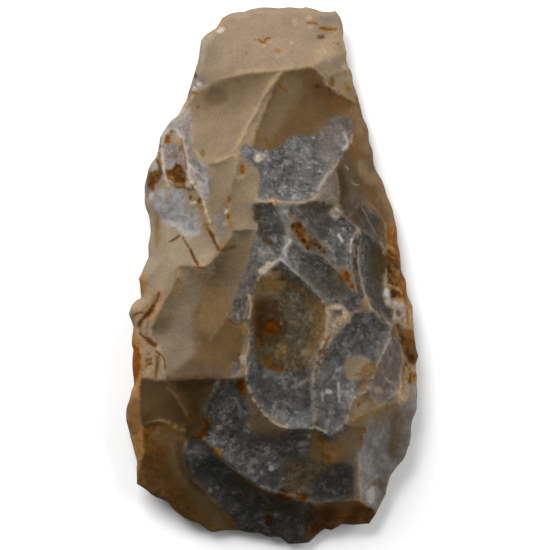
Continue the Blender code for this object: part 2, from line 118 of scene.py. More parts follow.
def inside_batch(points, loop):
    """Whether each point lies inside the loop, by counting the sides it passes."""
    x, y = points[:, :1], points[:, 1:]
    x0, y0 = loop.T
    x1, y1 = np.roll(loop, -1, axis=0).T
    rise = np.where(y1 == y0, TINY, y1 - y0)
    passes = ((y0 > y) != (y1 > y)) & (x < x0 + (y - y0) * (x1 - x0) / rise)
    return passes.sum(axis=1) % 2 == 1


def inside(points, loop):
    """Whether each point lies inside the loop."""
    found = np.zeros(len(points), bool)
    close = ((points >= loop.min(axis=0)) & (points <= loop.max(axis=0))).all(axis=1)
    if close.any():
        found[close] = in_batches(inside_batch, points[close], loop)
    return found


def side_of(points, loop):
    """1 for each point inside the loop and -1 for each outside it."""
    return np.where(inside(points, loop), 1.0, -1.0)


def depth_in_batch(points, loop):
    """How deep inside the loop each point is: its distance near a side, and smooth further in."""
    spoke = loop[None, :, :] - points[:, None, :]
    side = np.roll(loop, -1, axis=0) - loop
    length = np.maximum(np.sqrt((side ** 2).sum(axis=1)), TINY)
    along = (spoke * side).sum(axis=2) / length
    squared = np.maximum((spoke ** 2).sum(axis=2), TINY)
    clear = np.maximum(squared - along ** 2, 0.0)
    end = along + length
    seen = end / np.sqrt(clear + end ** 2 + TINY) - along / np.sqrt(squared)
    return 1.0 / np.sqrt(0.5 * (seen / (clear + TOUCHING)).sum(axis=1) + TINY)


def depth_in(points, loop):
    """How deep inside the loop each point is."""
    return in_batches(depth_in_batch, points, loop)


def underside(points):
    """Height of the underside: a shallow bowl with its lowest part flat."""
    across, along = ((points - RESTING_POINT) / (BOWL_HALF_WIDTH, BOWL_HALF_LENGTH)).T
    return np.maximum(BOWL_RISE * (across ** 2 + along ** 2) - FLAT_DEPTH, 0.0)


rim_edge = bowed_loop(EDGE, RIM_STEP)


def edge_depth(points):
    """Depth in from the stone's edge, smooth over the middle of the stone, negative outside it."""
    return side_of(points, rim_edge) * depth_in(points, rim_edge)


def blank(points):
    """Height of the blank's upper side before any blow."""
    stations, sizes = np.array(THICKNESS).T
    full = np.interp(points[:, 1], stations, sizes)
    inwards = edge_depth(points) / SHOULDER
    swell = np.where(inwards < 0.0, FALL_OUTSIDE * inwards,
                     1.0 - (1.0 - np.minimum(inwards, 1.0)) ** 2)
    return underside(points) + full * swell


# =============================================================================================
# The blows. Each took a flake off the upper side and left a hollow, so the top is a patchwork of
# hollows meeting in ridges. They are listed as they were struck: what each is, how deep it is
# below its rim, how far in from the rim it reaches that depth, how pale its worn rim is, and its
# rim, clockwise, as the edge is given. A rim may run off the stone.
# =============================================================================================
SCARS = (
    ("narrow end", -1.2, 6.0, 0.0,
     ((-17.5, 30.5), (-17.5, 52), (17, 52), (17, 41.5), (13.5, 39.7), (7.2, 37.1), (-1, 36.2, -0.25),
      (-9, 35), (-13.2, 33))),
    ("right band", 0.7, 3.0, 0.0,
     ((13.7, 28.4), (15.5, 30.8), (20, 31), (25, 14), (24.5, 5), (20.2, 5), (20.1, 9, 0.3),
      (15.6, 13.3), (12, 13), (11, 18.8), (13.6, 23, 0.1), (14.5, 26.3, 0.1))),
    ("left shoulder", 0.5, 4.0, 0.0,
     ((-20.4, 19.5), (-19, 13.5), (-19, 9), (-17.1, 1.2), (-16.8, -0.6, 0.1), (-19, -4.6),
      (-20.2, -2.8), (-28, -4), (-28, 8), (-26, 20))),
    ("folded skin", 0.3, 2.0, 0.0,
     ((-28, -4), (-20, -2.8), (-19, -4.6), (-21.4, -9.3, 0.1), (-21.3, -11), (-19, -15.5, 0.1),
      (-19.4, -18.8), (-23.2, -18.6), (-23.7, -13, 0.1), (-25.6, -8.6), (-28, -8))),
    ("right skin", 0.3, 2.0, 0.0,
     ((21.5, -9), (23.2, -5), (28.5, -5), (28.5, -23), (23.6, -22.3), (23.3, -15, 0.1), (21.4, -11.3))),
    ("right margin", 0.5, 2.5, 0.0,
     ((20.1, 8.8), (26, 9), (27, -6), (23.2, -4.6), (20.6, -1), (20.2, 3))),
    ("left strip", 0.3, 1.2, 0.0,
     ((-26.5, -9), (-23.7, -12.5), (-23.2, -18.6), (-23.5, -23, -0.1), (-22.9, -27, 0.1),
      (-22.8, -32, 0.1), (-24.3, -35.2), (-28.5, -35), (-28.5, -10))),
    ("patina band", 0.5, 2.0, 0.3,
     ((-17.6, 28), (-15, 31.6), (-14.2, 22.3, 0.1), (-12.6, 20.3), (-11.4, 17, 0.1), (-12.5, 13.6),
      (-13.2, 16.6, -0.1), (-15.2, 20, 0.1), (-16.1, 24.2, 0.1), (-17, 26))),
    ("rusty hollow", 0.9, 1.6, 0.7,
     ((-19.4, 24.6, 0.1), (-18.2, 26.1, 0.1), (-16.8, 25.9, 0.1), (-15.4, 21), (-14.4, 16.6),
      (-15.4, 15.2, 0.1), (-18.8, 17), (-19.6, 20.5, 0.1))),
    ("left high facet", 0.6, 3.5, 0.15,
     ((-19, 13.5), (-18.4, 16.4, 0.1), (-13, 15), (-11.6, 9.3), (-9.1, 4.2), (-11.6, 1.8, 0.1),
      (-16.3, 1.6), (-17.1, 1.2), (-19, 9))),
    ("left waist", 1.3, 5.5, 0.05,
     ((-14.9, 31.2, 0.1), (-13.2, 33, 0.1), (-9, 35, 0.25), (-1, 36.25), (1.9, 36.3), (-1, 32.3),
      (-4.2, 26.2), (-7, 21.6, 0.1), (-9.5, 20, 0.1), (-12.6, 20.3, 0.1), (-14.2, 22.4, 0.1))),
    ("right waist", 1.7, 6.0, 0.5,
     ((1.9, 36.35, 0.05), (7.2, 37.05, 0.4), (9.9, 33.9, -0.2), (15.6, 30.7, 0.1), (13.7, 28.4),
      (14.5, 26.3, 0.1), (13.6, 23), (10.8, 19), (7.4, 13.4, 0.1), (4.5, 12.7), (0, 13.2), (-2.6, 13),
      (-7, 21.6), (-4.2, 26.2), (-1, 32.3))),
    ("pink chip", 0.5, 1.6, 0.35,
     ((9.9, 34.4, 0.1), (10.7, 36, 0.1), (13.9, 36.6), (17, 36), (18, 30), (15.6, 30.6),
      (11.8, 32.4, 0.1))),
    ("tan left", 0.7, 3.0, 0.2,
     ((-11.4, 19.9), (-9.5, 20), (-7, 21.4), (-5.9, 20.2), (-7.7, 13.5, 0.1), (-7.5, 10.5), (-6.8, 8.1),
      (-9.1, 4.2), (-11.6, 9.3), (-12.6, 13.4), (-11.4, 16.5))),
    ("tan right", 0.7, 2.6, 0.1,
     ((-5.9, 20.2), (-4.6, 20.9, 0.2), (-2.3, 18, 0.1), (-2.1, 15), (-3.3, 12.4), (-2.8, 8),
      (-6.8, 8.1), (-7.5, 10.5), (-7.7, 13.5, 0.1))),
    ("great hollow", 1.9, 8.0, 0.05,
     ((-17.1, 1.3), (-16.3, 1.65), (-11.8, 1.6, -0.2), (-9.1, 4.2), (-6.8, 8.1), (-2.8, 8), (-2.4, 3),
      (-2.9, -1.5), (-3.7, -8), (-4.9, -14), (-5, -16.8, 0.1), (-6.5, -18.2), (-9, -18.5),
      (-19.3, -18.6), (-19, -16, 0.1), (-21.3, -11.4, 0.1), (-21.4, -9.3), (-19, -4.6), (-16.8, -0.6))),
    ("lower hollow", 1.3, 6.0, 0.12,
     ((-9, -18.5), (-6.5, -18.2), (-4.7, -18), (3, -27.4), (7.6, -27.4), (10.3, -28.9), (13.2, -26.8),
      (16.6, -27.2), (15.4, -33, 0.1), (15.6, -40.4), (7, -40.8, 0.2), (-2, -38, 0.2), (-9, -32.5),
      (-11.5, -29.9), (-12.6, -28.6), (-11.4, -26.5), (-11.9, -24.5), (-11, -22))),
    ("dark step left", 0.6, 3.0, 0.0,
     ((-23.2, -18.7), (-19, -18.9), (-17.3, -21.5), (-14.6, -26.5, 0.1), (-17, -27.4, 0.1),
      (-20.2, -26), (-22.9, -27), (-23.5, -23))),
    ("dark step right", 0.5, 3.2, 0.0,
     ((-19, -18.8), (-9, -18.6, -0.1), (-11.9, -24.5), (-11.4, -26.5, 0.2), (-12.6, -28.6, 0.2),
      (-14.4, -28.7, 0.1), (-14.6, -26.5), (-17.3, -21.5))),
    ("ochre facet", 1.0, 5.0, 0.0,
     ((-22.9, -27), (-20.2, -26), (-17, -27.4), (-14.4, -28.7), (-15.8, -32, 0.2), (-14.4, -36.6, 0.1),
      (-9, -42, 0.1), (-7, -45.6), (-7, -50), (-28, -43), (-28, -38), (-24.3, -35.2),
      (-22.8, -32, 0.1))),
    ("bottom band", 1.0, 5.0, 0.0,
     ((-15.8, -32, 0.1), (-14.4, -28.8, 0.2), (-11.5, -29.9), (-9, -32.5), (-2, -38, -0.2), (7, -40.8),
      (8.5, -51), (-7, -50), (-7, -45.6), (-9, -42, -0.1), (-14.4, -36.6))),
    ("honey toe", 0.8, 3.0, 0.0,
     ((7, -40.8), (15.6, -40.4), (18.3, -42), (21, -48), (8.5, -51))),
    ("glassy facet", 1.1, 4.5, 0.2,
     ((16.6, -27.2), (18.8, -24.2, 0.1), (21, -22.6, 0.1), (23.6, -22.3), (29, -22), (29, -33),
      (23, -41), (20.3, -38), (18.8, -36.1), (15.9, -39), (15.4, -33, 0.1))),
    ("glassy chip", 0.8, 1.6, 0.3,
     ((16, -38.9), (18.8, -36.1), (20.3, -37.4), (23, -41), (20, -45), (18.3, -42), (15.6, -40.4))),
    ("far right hollow", 0.6, 2.2, 0.3,
     ((17.3, -19.4), (18.9, -16.8), (21.4, -11.3, 0.2), (23, -12.6, 0.1), (23.4, -17, 0.1),
      (23, -20.4, 0.1), (19.3, -23.4, 0.1), (17.2, -21.5, 0.1))),
    ("clear chip", 0.5, 2.0, 0.2,
     ((13.4, 10.2), (15.8, 13.2, 0.3), (20.1, 8.4, 0.2), (20.1, 6.4, 0.1), (18.8, 6.2), (15.5, 8.2))),
    ("dark crescent", 0.9, 2.0, 0.3,
     ((-3.3, 12.6, 0.1), (-0.5, 12.9, 0.2), (1.2, 11.4), (2.8, 7.5, 0.1), (2.4, 4.6, 0.1), (0.9, 2.6),
      (-1.9, 4), (-3.2, 9, 0.1))),
    ("middle hollow", 0.9, 2.6, 0.15,
     ((4.2, 12.2, 0.1), (7.5, 13.2), (10.4, 12.7), (13.4, 10.1), (15.4, 8.1), (14, 5.5), (13.5, 2.5),
      (10.5, 4.5), (8.6, 5.8), (6.3, 9.3))),
    ("blue hollow", 0.9, 2.6, 0.2,
     ((3.4, 6.2), (5.8, 4.2), (9.3, 3.2), (12.3, 0, 0.1), (14.5, -3.4, 0.1), (12.3, -4.6, 0.1),
      (9.7, -4.3), (6.3, -1.2), (3.2, 1.9), (1.3, 2.8, 0.1))),
    ("long finger", 1.0, 2.0, 0.7,
     ((15.8, 8.1), (18.8, 6.3, 0.1), (20.2, 4.5, 0.1), (20.3, -3.8), (21.9, -5.5, 0.3), (21.4, -8.9),
      (19, -7.6, 0.2), (16.6, -4, 0.1), (15.2, 0.5, 0.1), (14.9, 4.5, 0.1))),
    ("great oval", 1.8, 5.0, 0.9,
     ((-2.7, -1, 0.1), (0, 1.2), (1.5, 2.4), (3.2, 1.7), (6.3, -1.5, 0.1), (9.2, -4.8, 0.2),
      (9.9, -7.5, 0.2), (9.3, -11.5, 0.1), (7.4, -16.5), (7.6, -24), (7.5, -27.2, 0.1), (3, -27.4, 0.4),
      (-1.5, -24.7, 0.2), (-4.4, -20, 0.2), (-4.6, -16), (-3.7, -8))),
    ("right oval", 1.3, 4.0, 0.7,
     ((14.2, -6.6, 0.1), (18.2, -6.6), (21.3, -8.9, 0.1), (21.3, -11), (18.9, -16.5), (17.2, -20.5),
      (14.4, -22), (13.2, -26.8, 0.1), (10.3, -28.8, 0.1), (7.9, -26.8, 0.1), (7.7, -20), (8.4, -16.3),
      (10.6, -11.3), (13.9, -8))),
)


def stretched_batch(points, loop, rim):
    """The height of a skin stretched across the loop, whose points stand at the rim heights."""
    spoke = loop[None, :, :] - points[:, None, :]
    following = np.roll(spoke, -1, axis=1)
    reach = np.maximum(np.sqrt((spoke ** 2).sum(axis=2)), TINY)
    next_reach = np.roll(reach, -1, axis=1)
    turn = spoke[:, :, 0] * following[:, :, 1] - spoke[:, :, 1] * following[:, :, 0]
    turn = np.where(np.abs(turn) < TINY, TINY, turn)
    half_angle = (reach * next_reach - (spoke * following).sum(axis=2)) / turn
    weight = (half_angle + np.roll(half_angle, 1, axis=1)) / reach
    return (weight * rim).sum(axis=1) / weight.sum(axis=1)


def strike(points, height, scar):
    """Lowers the heights inside one scar's rim to a hollow hung from that rim."""
    depth, reach, loop, rim = scar
    hit = inside(points, loop)
    if hit.any():
        struck = points[hit]
        inwards = np.minimum(depth_in(struck, loop) / reach, 1.0)
        skin = in_batches(stretched_batch, struck, loop, rim)
        height[hit] = skin - depth * (1.0 - (1.0 - inwards) ** 2)
    return height


def upper_side(points, scars):
    """Height of the upper side after the given scars."""
    height = blank(points)
    for scar in scars:
        height = strike(points, height, scar)
    return height


scars = []
for _, depth, reach, _, corners in SCARS:
    loop = bowed_loop(corners, RIM_STEP)
    scars.append((depth, reach, loop, upper_side(loop, scars)))

# =============================================================================================
# The retouch. Light blows along the edge took off rows of small chips and left it scalloped. Each
# chip is a short D-shaped hollow across the edge, and they sit side by side with gaps.
# =============================================================================================
CHIP_SEED = 7
CHIP_WIDTH = (1.6, 3.8)          # least and most, along the edge
CHIP_LENGTH = (1.0, 2.8)         # in from the edge
CHIP_DEPTH = (0.10, 0.30)
CHIP_GAP = (0.2, 5.0)
CHIP_POINTS = 18
CHIP_OVERHANG = 0.8              # how far the drawn hollow runs on outside the stone

chance = np.random.default_rng(CHIP_SEED)
edge_steps = np.linalg.norm(np.roll(rim_edge, -1, axis=0) - rim_edge, axis=1)
edge_lengths = np.concatenate(((0.0,), np.cumsum(edge_steps)))
closed_edge = np.vstack((rim_edge, rim_edge[:1]))


def edge_point(length):
    """The point that far round the edge."""
    return np.array([np.interp(length % edge_lengths[-1], edge_lengths, values)
                     for values in closed_edge.T])


start = 0.0
while start < edge_lengths[-1]:
    width = chance.uniform(*CHIP_WIDTH)
    length = chance.uniform(*CHIP_LENGTH)
    depth = chance.uniform(*CHIP_DEPTH)
    middle = edge_point(start + 0.5 * width)
    along = edge_point(start + width) - edge_point(start)
    along = along / max(np.linalg.norm(along), TINY)
    inwards = np.array((along[1], -along[0]))
    angles = np.arange(CHIP_POINTS) * 2.0 * math.pi / CHIP_POINTS
    run = np.where(np.sin(angles) > 0.0, length, CHIP_OVERHANG) * np.sin(angles)
    loop = middle + np.outer(0.5 * width * np.cos(angles), along) + np.outer(run, inwards)
    scars.append((depth, 0.5 * width, loop, upper_side(loop, scars)))
    start += width + chance.uniform(*CHIP_GAP)

# =============================================================================================
# The finishes. Flint is brown and fine-grained, with slate-grey cherty patches full of white
# flecks, a pale lavender patina on old faces, a cream skin, and rust where iron got in. Each
# finish has its colour (as seen, 0 to 255), its share of flecks, its grit, its gloss, and how
# unevenly it is coloured.
# =============================================================================================
# A few of the marks laid with these finishes are painted shadow, shade, highlight and glints, and say
# so where they lie.
FINISHES = {
    "beige": ((168, 146, 121), 0.0, 0.0, 0.2, 0.0),
    "tan": ((178, 157, 131), 0.0, 0.0, 0.3, 0.0),
    "fawn": ((156, 135, 108), 0.0, 0.0, 0.3, 0.0),
    "sand": ((148, 130, 108), 0.0, 0.0, 0.4, 0.0),
    "straw": ((152, 123, 84), 0.0, 0.0, 0.4, 0.0),
    "olive": ((137, 115, 86), 0.0, 0.0, 0.4, 0.0),
    "umber": ((119, 94, 62), 0.0, 0.0, 0.4, 0.0),
    "drab": ((102, 82, 61), 0.1, 0.0, 0.4, 0.0),
    "brown": ((128, 93, 57), 0.0, 0.0, 0.4, 0.0),
    "earth": ((88, 67, 42), 0.0, 0.0, 0.4, 0.05),
    "moss": ((98, 82, 56), 0.4, 0.1, 0.3, 0.4),
    "dark brown": ((76, 58, 36), 0.0, 0.1, 0.4, 0.2),
    "honey": ((128, 88, 40), 0.0, 0.0, 0.5, 0.3),
    "gold": ((140, 107, 62), 0.3, 0.1, 0.4, 0.4),
    "ochre": ((162, 110, 48), 0.0, 0.7, 0.2, 0.5),
    "orange": ((198, 138, 66), 0.0, 0.3, 0.1, 0.2),
    "rust": ((150, 80, 20), 0.0, 0.4, 0.2, 0.35),
    "deep rust": ((96, 52, 12), 0.0, 0.4, 0.2, 0.2),
    "slate": ((98, 97, 95), 1.0, 0.3, 0.3, 0.0),
    "dark slate": ((80, 78, 75), 0.9, 0.2, 0.4, 0.0),
    "pale slate": ((118, 116, 112), 1.0, 0.3, 0.3, 0.0),
    "black slate": ((66, 65, 62), 0.5, 0.1, 0.5, 0.1),
    "blue slate": ((122, 126, 127), 0.8, 0.2, 0.3, 0.0),
    "ash": ((170, 165, 161), 0.6, 0.3, 0.2, 0.0),
    "mauve": ((122, 109, 99), 0.5, 0.1, 0.5, 0.1),
    "glass": ((139, 134, 129), 0.5, 0.1, 0.7, 0.15),
    "lavender": ((144, 133, 128), 0.5, 0.3, 0.1, 0.2),
    "milk": ((220, 215, 209), 0.2, 0.3, 0.1, 0.0),
    "chalk": ((196, 182, 162), 0.2, 0.9, 0.0, 0.35),
    "cream": ((214, 184, 146), 0.0, 0.4, 0.0, 0.1),
    # Also laid once as painted light, lightening the shade under the great hollow's upper rim.
    "skin": ((184, 153, 120), 0.0, 0.5, 0.0, 0.1),
    # Also laid as painted shadow round a raised nodule and pale crumbs at the left.
    "crack and shadow": ((98, 62, 33), 0.0, 0.3, 0.0, 0.0),
    "tawny": ((184, 138, 84), 0.0, 0.3, 0.2, 0.2),
    "rusty": ((102, 63, 28), 0.0, 1.0, 0.1, 0.6),
    "crust": ((176, 150, 124), 0.0, 1.0, 0.0, 0.5),
    "smoke": ((80, 72, 65), 0.2, 0.1, 0.5, 0.1),
    "bistre": ((72, 46, 24), 0.0, 0.1, 0.4, 0.15),
    "amber": ((152, 96, 34), 0.0, 0.6, 0.3, 0.7),
    "brick": ((138, 66, 18), 0.0, 0.4, 0.2, 0.2),
    "sienna": ((148, 104, 60), 0.0, 0.3, 0.1, 0.1),
}

ALBEDO = 0.45                    # share of its seen brightness that a finish has of its own
SHEEN = 0.0015                   # and the part of it that only mirrors the white room
DARKEST = 0.0006                 # no finish is darker than this


def linear(colour):
    """Linear light for a colour as seen, from 0 to 255, by the sRGB standard's curve."""
    share = np.array(colour) / 255.0
    return np.where(share > 0.04045, ((share + 0.055) / 1.055) ** 2.4, share / 12.92)


# A coat is a finish as it is mixed: the logarithm of its own colour, then its other shares.
COATS = {}
for name, (colour, *shares) in FINISHES.items():
    own = np.maximum(ALBEDO * linear(colour) - SHEEN, DARKEST)
    COATS[name] = np.concatenate((np.log(own), shares))

# Where each finish lies, in the order they are laid: finish, strength, width of the soft border,
# and the corners of a smooth outline.
PATCHES = (
    # The narrow end and the two waists.
    ("beige", 1.0, 0.6, ((-14, 33), (-11.3, 34), (-8, 35.3), (-3, 36.2), (1.5, 36.5), (7, 37.3),
      (13.6, 39.8), (15, 44), (12, 50), (0, 52), (-14, 48), (-16, 38))),
    ("cream", 0.8, 3.0, ((7, 37.6), (14, 40), (14.5, 45), (9.5, 42))),
    ("fawn", 0.6, 1.2, ((7.4, 37), (13.6, 39.6), (15.5, 37), (14, 35.6), (10, 34.6))),
    ("olive", 0.8, 5.0, ((-14, 32.5), (-10, 34.8), (-3, 36.3), (1.5, 36.4), (-2.5, 31.5), (-9, 29.5),
      (-14.5, 29))),
    ("umber", 1.0, 0.9, ((1.9, 36.2), (7.2, 37), (10, 33.9), (15.8, 30.8), (14, 28.5), (14.4, 24),
      (8, 22), (-3, 22), (-2.8, 25), (-2, 27.5), (-0.6, 31), (0.6, 33.6))),
    ("fawn", 0.6, 2.5, ((2.5, 35.8), (6, 36.4), (5, 32), (2.5, 28), (0, 24.5), (-2.2, 25.5),
      (-0.6, 30))),
    ("cream", 0.7, 1.0, ((-0.2, 32.5), (-3.8, 26.4), (-6.6, 22), (-3.4, 22.4), (-2.7, 26), (-1, 30))),
    ("brown", 0.9, 2.0, ((10.5, 33.2), (15, 31), (14, 28.5), (10.5, 29))),
    ("brown", 0.8, 2.2, ((6.2, 36.8), (8.8, 36.2), (9.8, 33.6), (9, 31.5), (6.5, 32.5))),
    ("straw", 0.6, 1.0, ((-2.5, 26.4), (-1.4, 25.6), (-1.2, 23), (-2.7, 22.6))),
    # The right band and the edge below it.
    ("brown", 1.0, 0.9, ((13.8, 31), (18, 31), (19, 24), (22, 14), (24, 6), (20.4, 5), (20, 9),
      (15.6, 13), (11.5, 13), (11, 18.8), (13.5, 23), (14.5, 26.5))),
    ("fawn", 0.5, 1.4, ((14.8, 30), (17, 29), (18.4, 22.5), (16.6, 22), (15, 26))),
    ("umber", 0.9, 2.0, ((12.6, 21), (15.6, 22), (17.6, 20), (19.8, 15.5), (20.4, 10), (15.6, 13),
      (12, 13.5), (11.5, 17))),
    ("straw", 0.7, 1.5, ((19.2, 19), (22.8, 11), (23.5, 5), (21.4, 6), (20.6, 11), (18.8, 15))),
    ("dark brown", 0.9, 0.8, ((11.9, 18.8), (12.7, 18.4), (13.6, 15.5), (13.3, 13.4), (12.3, 13),
      (12.1, 16))),
    ("mauve", 0.9, 0.6, ((9.7, 17.8), (11.3, 18.6), (12, 16), (11.8, 13), (8.6, 13.2))),
    ("amber", 1.0, 1.0, ((20.7, 8), (26, 9), (28, -10), (24.7, -9), (22.8, -4.6), (20.7, -1.5),
      (20.3, 3))),
    ("bistre", 0.55, 1.2, ((20.5, 3.4), (21.2, 3), (22, 0.6), (21.8, -1.8), (20.6, -1))),
    # The left side above the middle: skin, patina and rust.
    ("tan", 1.0, 1.2, ((-24, 20), (-19, 26), (-15.6, 31.4), (-14.8, 21), (-12.6, 12), (-9, 4),
      (-17, 1.3), (-20, -3), (-28, -4), (-26, 10))),
    ("tawny", 0.7, 1.8, ((-26, 1), (-23.4, 0.6), (-22.4, -1.6), (-23.2, -4), (-27, -4))),
    ("sienna", 0.5, 0.8, ((-20.9, 10.6), (-20.3, 10.4), (-20.1, 5.8), (-21, 5.4))),
    ("ochre", 0.5, 1.2, ((-24.6, 0.4), (-23.1, -0.2), (-22.6, -2), (-22.9, -4.2), (-24.6, -4.2))),
    ("lavender", 1.0, 0.6, ((-15.6, 30), (-14.3, 28.6), (-14.2, 21.5), (-12.8, 20.4), (-11.3, 18.6),
      (-11.1, 14.6), (-12, 13.6), (-13.3, 16.2), (-15, 15), (-19, 16.4), (-22.2, 14), (-23.5, 19),
      (-21.4, 23), (-19.4, 27.5))),
    ("chalk", 0.5, 1.0, ((-18.6, 27.6), (-16.2, 30), (-15, 29.4), (-15.6, 27), (-17.4, 26.8))),
    ("milk", 0.7, 1.0, ((-21.6, 21), (-20.2, 22.6), (-19.6, 26), (-18.4, 27), (-18.4, 25), (-19.3, 22),
      (-19.4, 19))),
    ("ash", 0.8, 0.8, ((-15.4, 22), (-14.9, 20.4), (-13.2, 18.8), (-11.6, 18), (-11.3, 14.4),
      (-12.4, 13.6), (-13.6, 16.6), (-15.4, 19.4))),
    ("milk", 0.4, 0.7, ((-12.6, 17.6), (-11.5, 17.4), (-11.4, 15), (-12.2, 13.8), (-12.9, 15.4))),
    ("rusty", 1.0, 0.5, ((-18.9, 18.7), (-17.6, 19.1), (-17, 20), (-16.3, 19.6), (-15.5, 18.4),
      (-15, 17.2), (-15.6, 15.8), (-16.8, 15.4), (-17.8, 16.4), (-18.7, 16.8))),
    ("rusty", 1.0, 0.5, ((-22.4, 17.6), (-21.6, 18.6), (-20.6, 18.6), (-19.9, 17.8), (-20.6, 16.2),
      (-21.4, 15.2), (-22.1, 15.6))),
    ("crust", 0.9, 0.6, ((-23, -13.8), (-21.6, -13.6), (-21.2, -16.8), (-22, -18.4), (-23.2, -17.6))),
    ("blue slate", 0.6, 0.9, ((-14.4, 21.4), (-13, 20.4), (-11.7, 19.4), (-12.1, 18.2), (-13.6, 19))),
    ("straw", 0.6, 1.2, ((-19.6, 17), (-19, 15.6), (-20.6, 15.4), (-21.8, 14.6), (-20.8, 16.4))),
    ("ash", 1.0, 0.5, ((-21.4, 14.5), (-20.7, 15.5), (-19.2, 15.3), (-18.3, 15.8), (-16.9, 15.3),
      (-15.4, 14.1), (-15, 13), (-13.6, 11.9), (-13.2, 10.1), (-13, 7.7), (-15.8, 7.1), (-16.9, 8.3),
      (-19, 9.5), (-20.8, 11.4), (-21.5, 13.2))),
    ("sand", 0.7, 1.0, ((-15.6, 12.6), (-13.6, 12), (-13.4, 10.6), (-15, 10.6))),
    ("milk", 0.7, 0.9, ((-19.4, 10), (-17.4, 9.6), (-16, 9.4), (-15.4, 8), (-13, 8), (-13, 7.2),
      (-16, 6.8), (-17, 8.2), (-19.6, 9.2))),
    ("straw", 0.7, 1.0, ((-14.6, 14.8), (-12.6, 13.6), (-11.4, 10.6), (-12.4, 8.4), (-12.9, 10.8),
      (-13.4, 12.2), (-14.8, 13.2))),
    ("ash", 0.5, 1.4, ((-15.6, 11.6), (-13, 11.4), (-12.6, 8.4), (-15, 8.2))),
    ("ash", 0.3, 1.2, ((-20.2, 12.8), (-18, 12.8), (-17.6, 10.6), (-19.8, 10.6))),
    ("beige", 0.7, 1.6, ((-19.4, -0.4), (-17, -0.6), (-17.4, -3.2), (-19, -3.6))),
    ("lavender", 0.8, 0.8, ((-10.4, 10.4), (-9.2, 10.9), (-8.3, 9.8), (-8.6, 7.6), (-9.6, 6.6),
      (-10.4, 8))),
    # The slate of the great hollow, and of the lower half.
    ("slate", 1.0, 0.6, ((-5.6, 22.6), (-4.6, 23.2), (-1.5, 22.3), (0.5, 22.4), (2, 23.2), (3, 24.3),
      (4.5, 24.9), (7, 24.9), (9, 25.6), (10.3, 26.6), (10.7, 28), (12.5, 28.4), (13.7, 28),
      (14.4, 26.3), (14, 24), (13, 22), (10.8, 19), (9.8, 17.9), (8.6, 15.5), (7.2, 13.5), (5, 12.9),
      (2.5, 12.9), (0.5, 13.4), (-2.2, 13.6), (-2.4, 15.5), (-2.2, 18), (-3.6, 19.8), (-5.4, 21.3))),
    ("dark slate", 0.6, 2.5, ((-2.4, 21), (1.4, 21.8), (4, 19.4), (2.6, 15.6), (-0.4, 17.6))),
    ("mauve", 0.8, 2.5, ((8, 25.4), (11, 27.8), (13.6, 27.8), (14, 25), (12.5, 22), (10.5, 19.6),
      (8.6, 20.6))),
    ("blue slate", 0.3, 1.5, ((2.4, 23), (3.6, 24.3), (6, 24.5), (6.5, 22.8), (3.5, 21.4))),
    ("dark slate", 1.0, 1.0, ((-3.2, 12.6), (0, 12.8), (5, 12.4), (9, 13.2), (12.6, 12), (15.6, 13),
      (20, 9.5), (20.4, 4), (20.4, -4), (22, -6), (21.4, -9), (23.2, -12.5), (23.3, -20), (20.5, -22.6),
      (15, -22.5), (13.4, -26.6), (15.6, -33), (15.4, -40), (7, -40.5), (-2, -38), (-9, -32.5),
      (-11.7, -29.6), (-11.2, -25), (-8.5, -19.5), (-4.8, -17.6), (-4, -9), (-7.3, -8.2), (-6.6, -4),
      (-5, 0), (-2.9, 7), (-3.2, 10))),
    ("black slate", 1.0, 1.2, ((-15.8, -31), (-15, -29.6), (-11.6, -29.8), (-9, -32.6), (-2, -38.2),
      (7, -41), (9, -46), (8, -51), (-6, -51), (-5.9, -45.5), (-6.8, -44), (-9.3, -41.6),
      (-12.1, -38.4), (-14.7, -35.6), (-15.9, -33))),
    # The hollow at the left of the middle.
    ("sand", 1.0, 0.6, ((-17, 1.2), (-13, 1.7), (-9.1, 4.3), (-6.8, 8), (-2.9, 8), (-5, 0), (-6.9, -5),
      (-7.6, -8), (-5, -9), (-4.8, -13), (-5.6, -16), (-7.2, -17.2), (-8.4, -18.6), (-19.3, -18.7),
      (-19, -16), (-21.4, -11.2), (-21.4, -9), (-19, -4.6), (-17, -0.6))),
    ("fawn", 0.8, 3.0, ((-16.6, -2), (-12.6, -2), (-12.6, -6), (-15, -8), (-18, -6))),
    ("olive", 0.8, 2.0, ((-10.5, 3), (-6.4, 7.4), (-3.6, 7), (-5.4, 0), (-7.6, -6), (-9.4, -1))),
    ("umber", 1.0, 2.4, ((-13.4, -6), (-9.6, -4), (-6.6, -8), (-4.8, -10), (-5.2, -15), (-8.5, -18.6),
      (-16.5, -18.4), (-13.6, -14), (-13.4, -10))),
    ("drab", 0.9, 2.0, ((-18, -18.4), (-14.6, -15.4), (-12.4, -15.6), (-8, -17.4), (-8.6, -18.8))),
    ("straw", 0.9, 1.6, ((-12.6, 0.8), (-10.6, 0.8), (-8.4, -3), (-7.4, -6), (-8.8, -8.4),
      (-11.4, -10.6), (-13.6, -8.6), (-12.4, -4))),
    ("olive", 0.5, 1.6, ((-20.6, -8), (-19.6, -6), (-17.4, -7), (-18, -10), (-20.4, -10.4))),
    ("tawny", 0.25, 1.6, ((-16.8, 1), (-15.4, 0.6), (-15.6, -1.4), (-16.6, -4), (-17.8, -3))),
    # Painted light: this pale band lightens the shade that falls under the great hollow's upper rim.
    ("skin", 0.5, 1.6, ((-16.4, 1.4), (-11.4, 2), (-11.4, -0.8), (-16, -1.2))),
    ("cream", 0.8, 1.8, ((-13.6, 1.6), (-10.6, 2.2), (-10.6, 0), (-12.6, -0.4))),
    ("mauve", 0.7, 1.2, ((-3.2, 6), (-4.6, 2), (-6.6, -4.4), (-5, -4.6), (-3.2, 0), (-2.2, 2.8),
      (-2.4, 5.4))),
    ("mauve", 0.5, 1.0, ((-6.6, -6.4), (-7.5, -7.6), (-6, -8.6), (-5, -8.2), (-5.2, -6.2))),
    ("tawny", 0.3, 1.4, ((-17, -0.8), (-16, -1), (-16.6, -3.4), (-18, -3.6))),
    # The left edge, from the middle down.
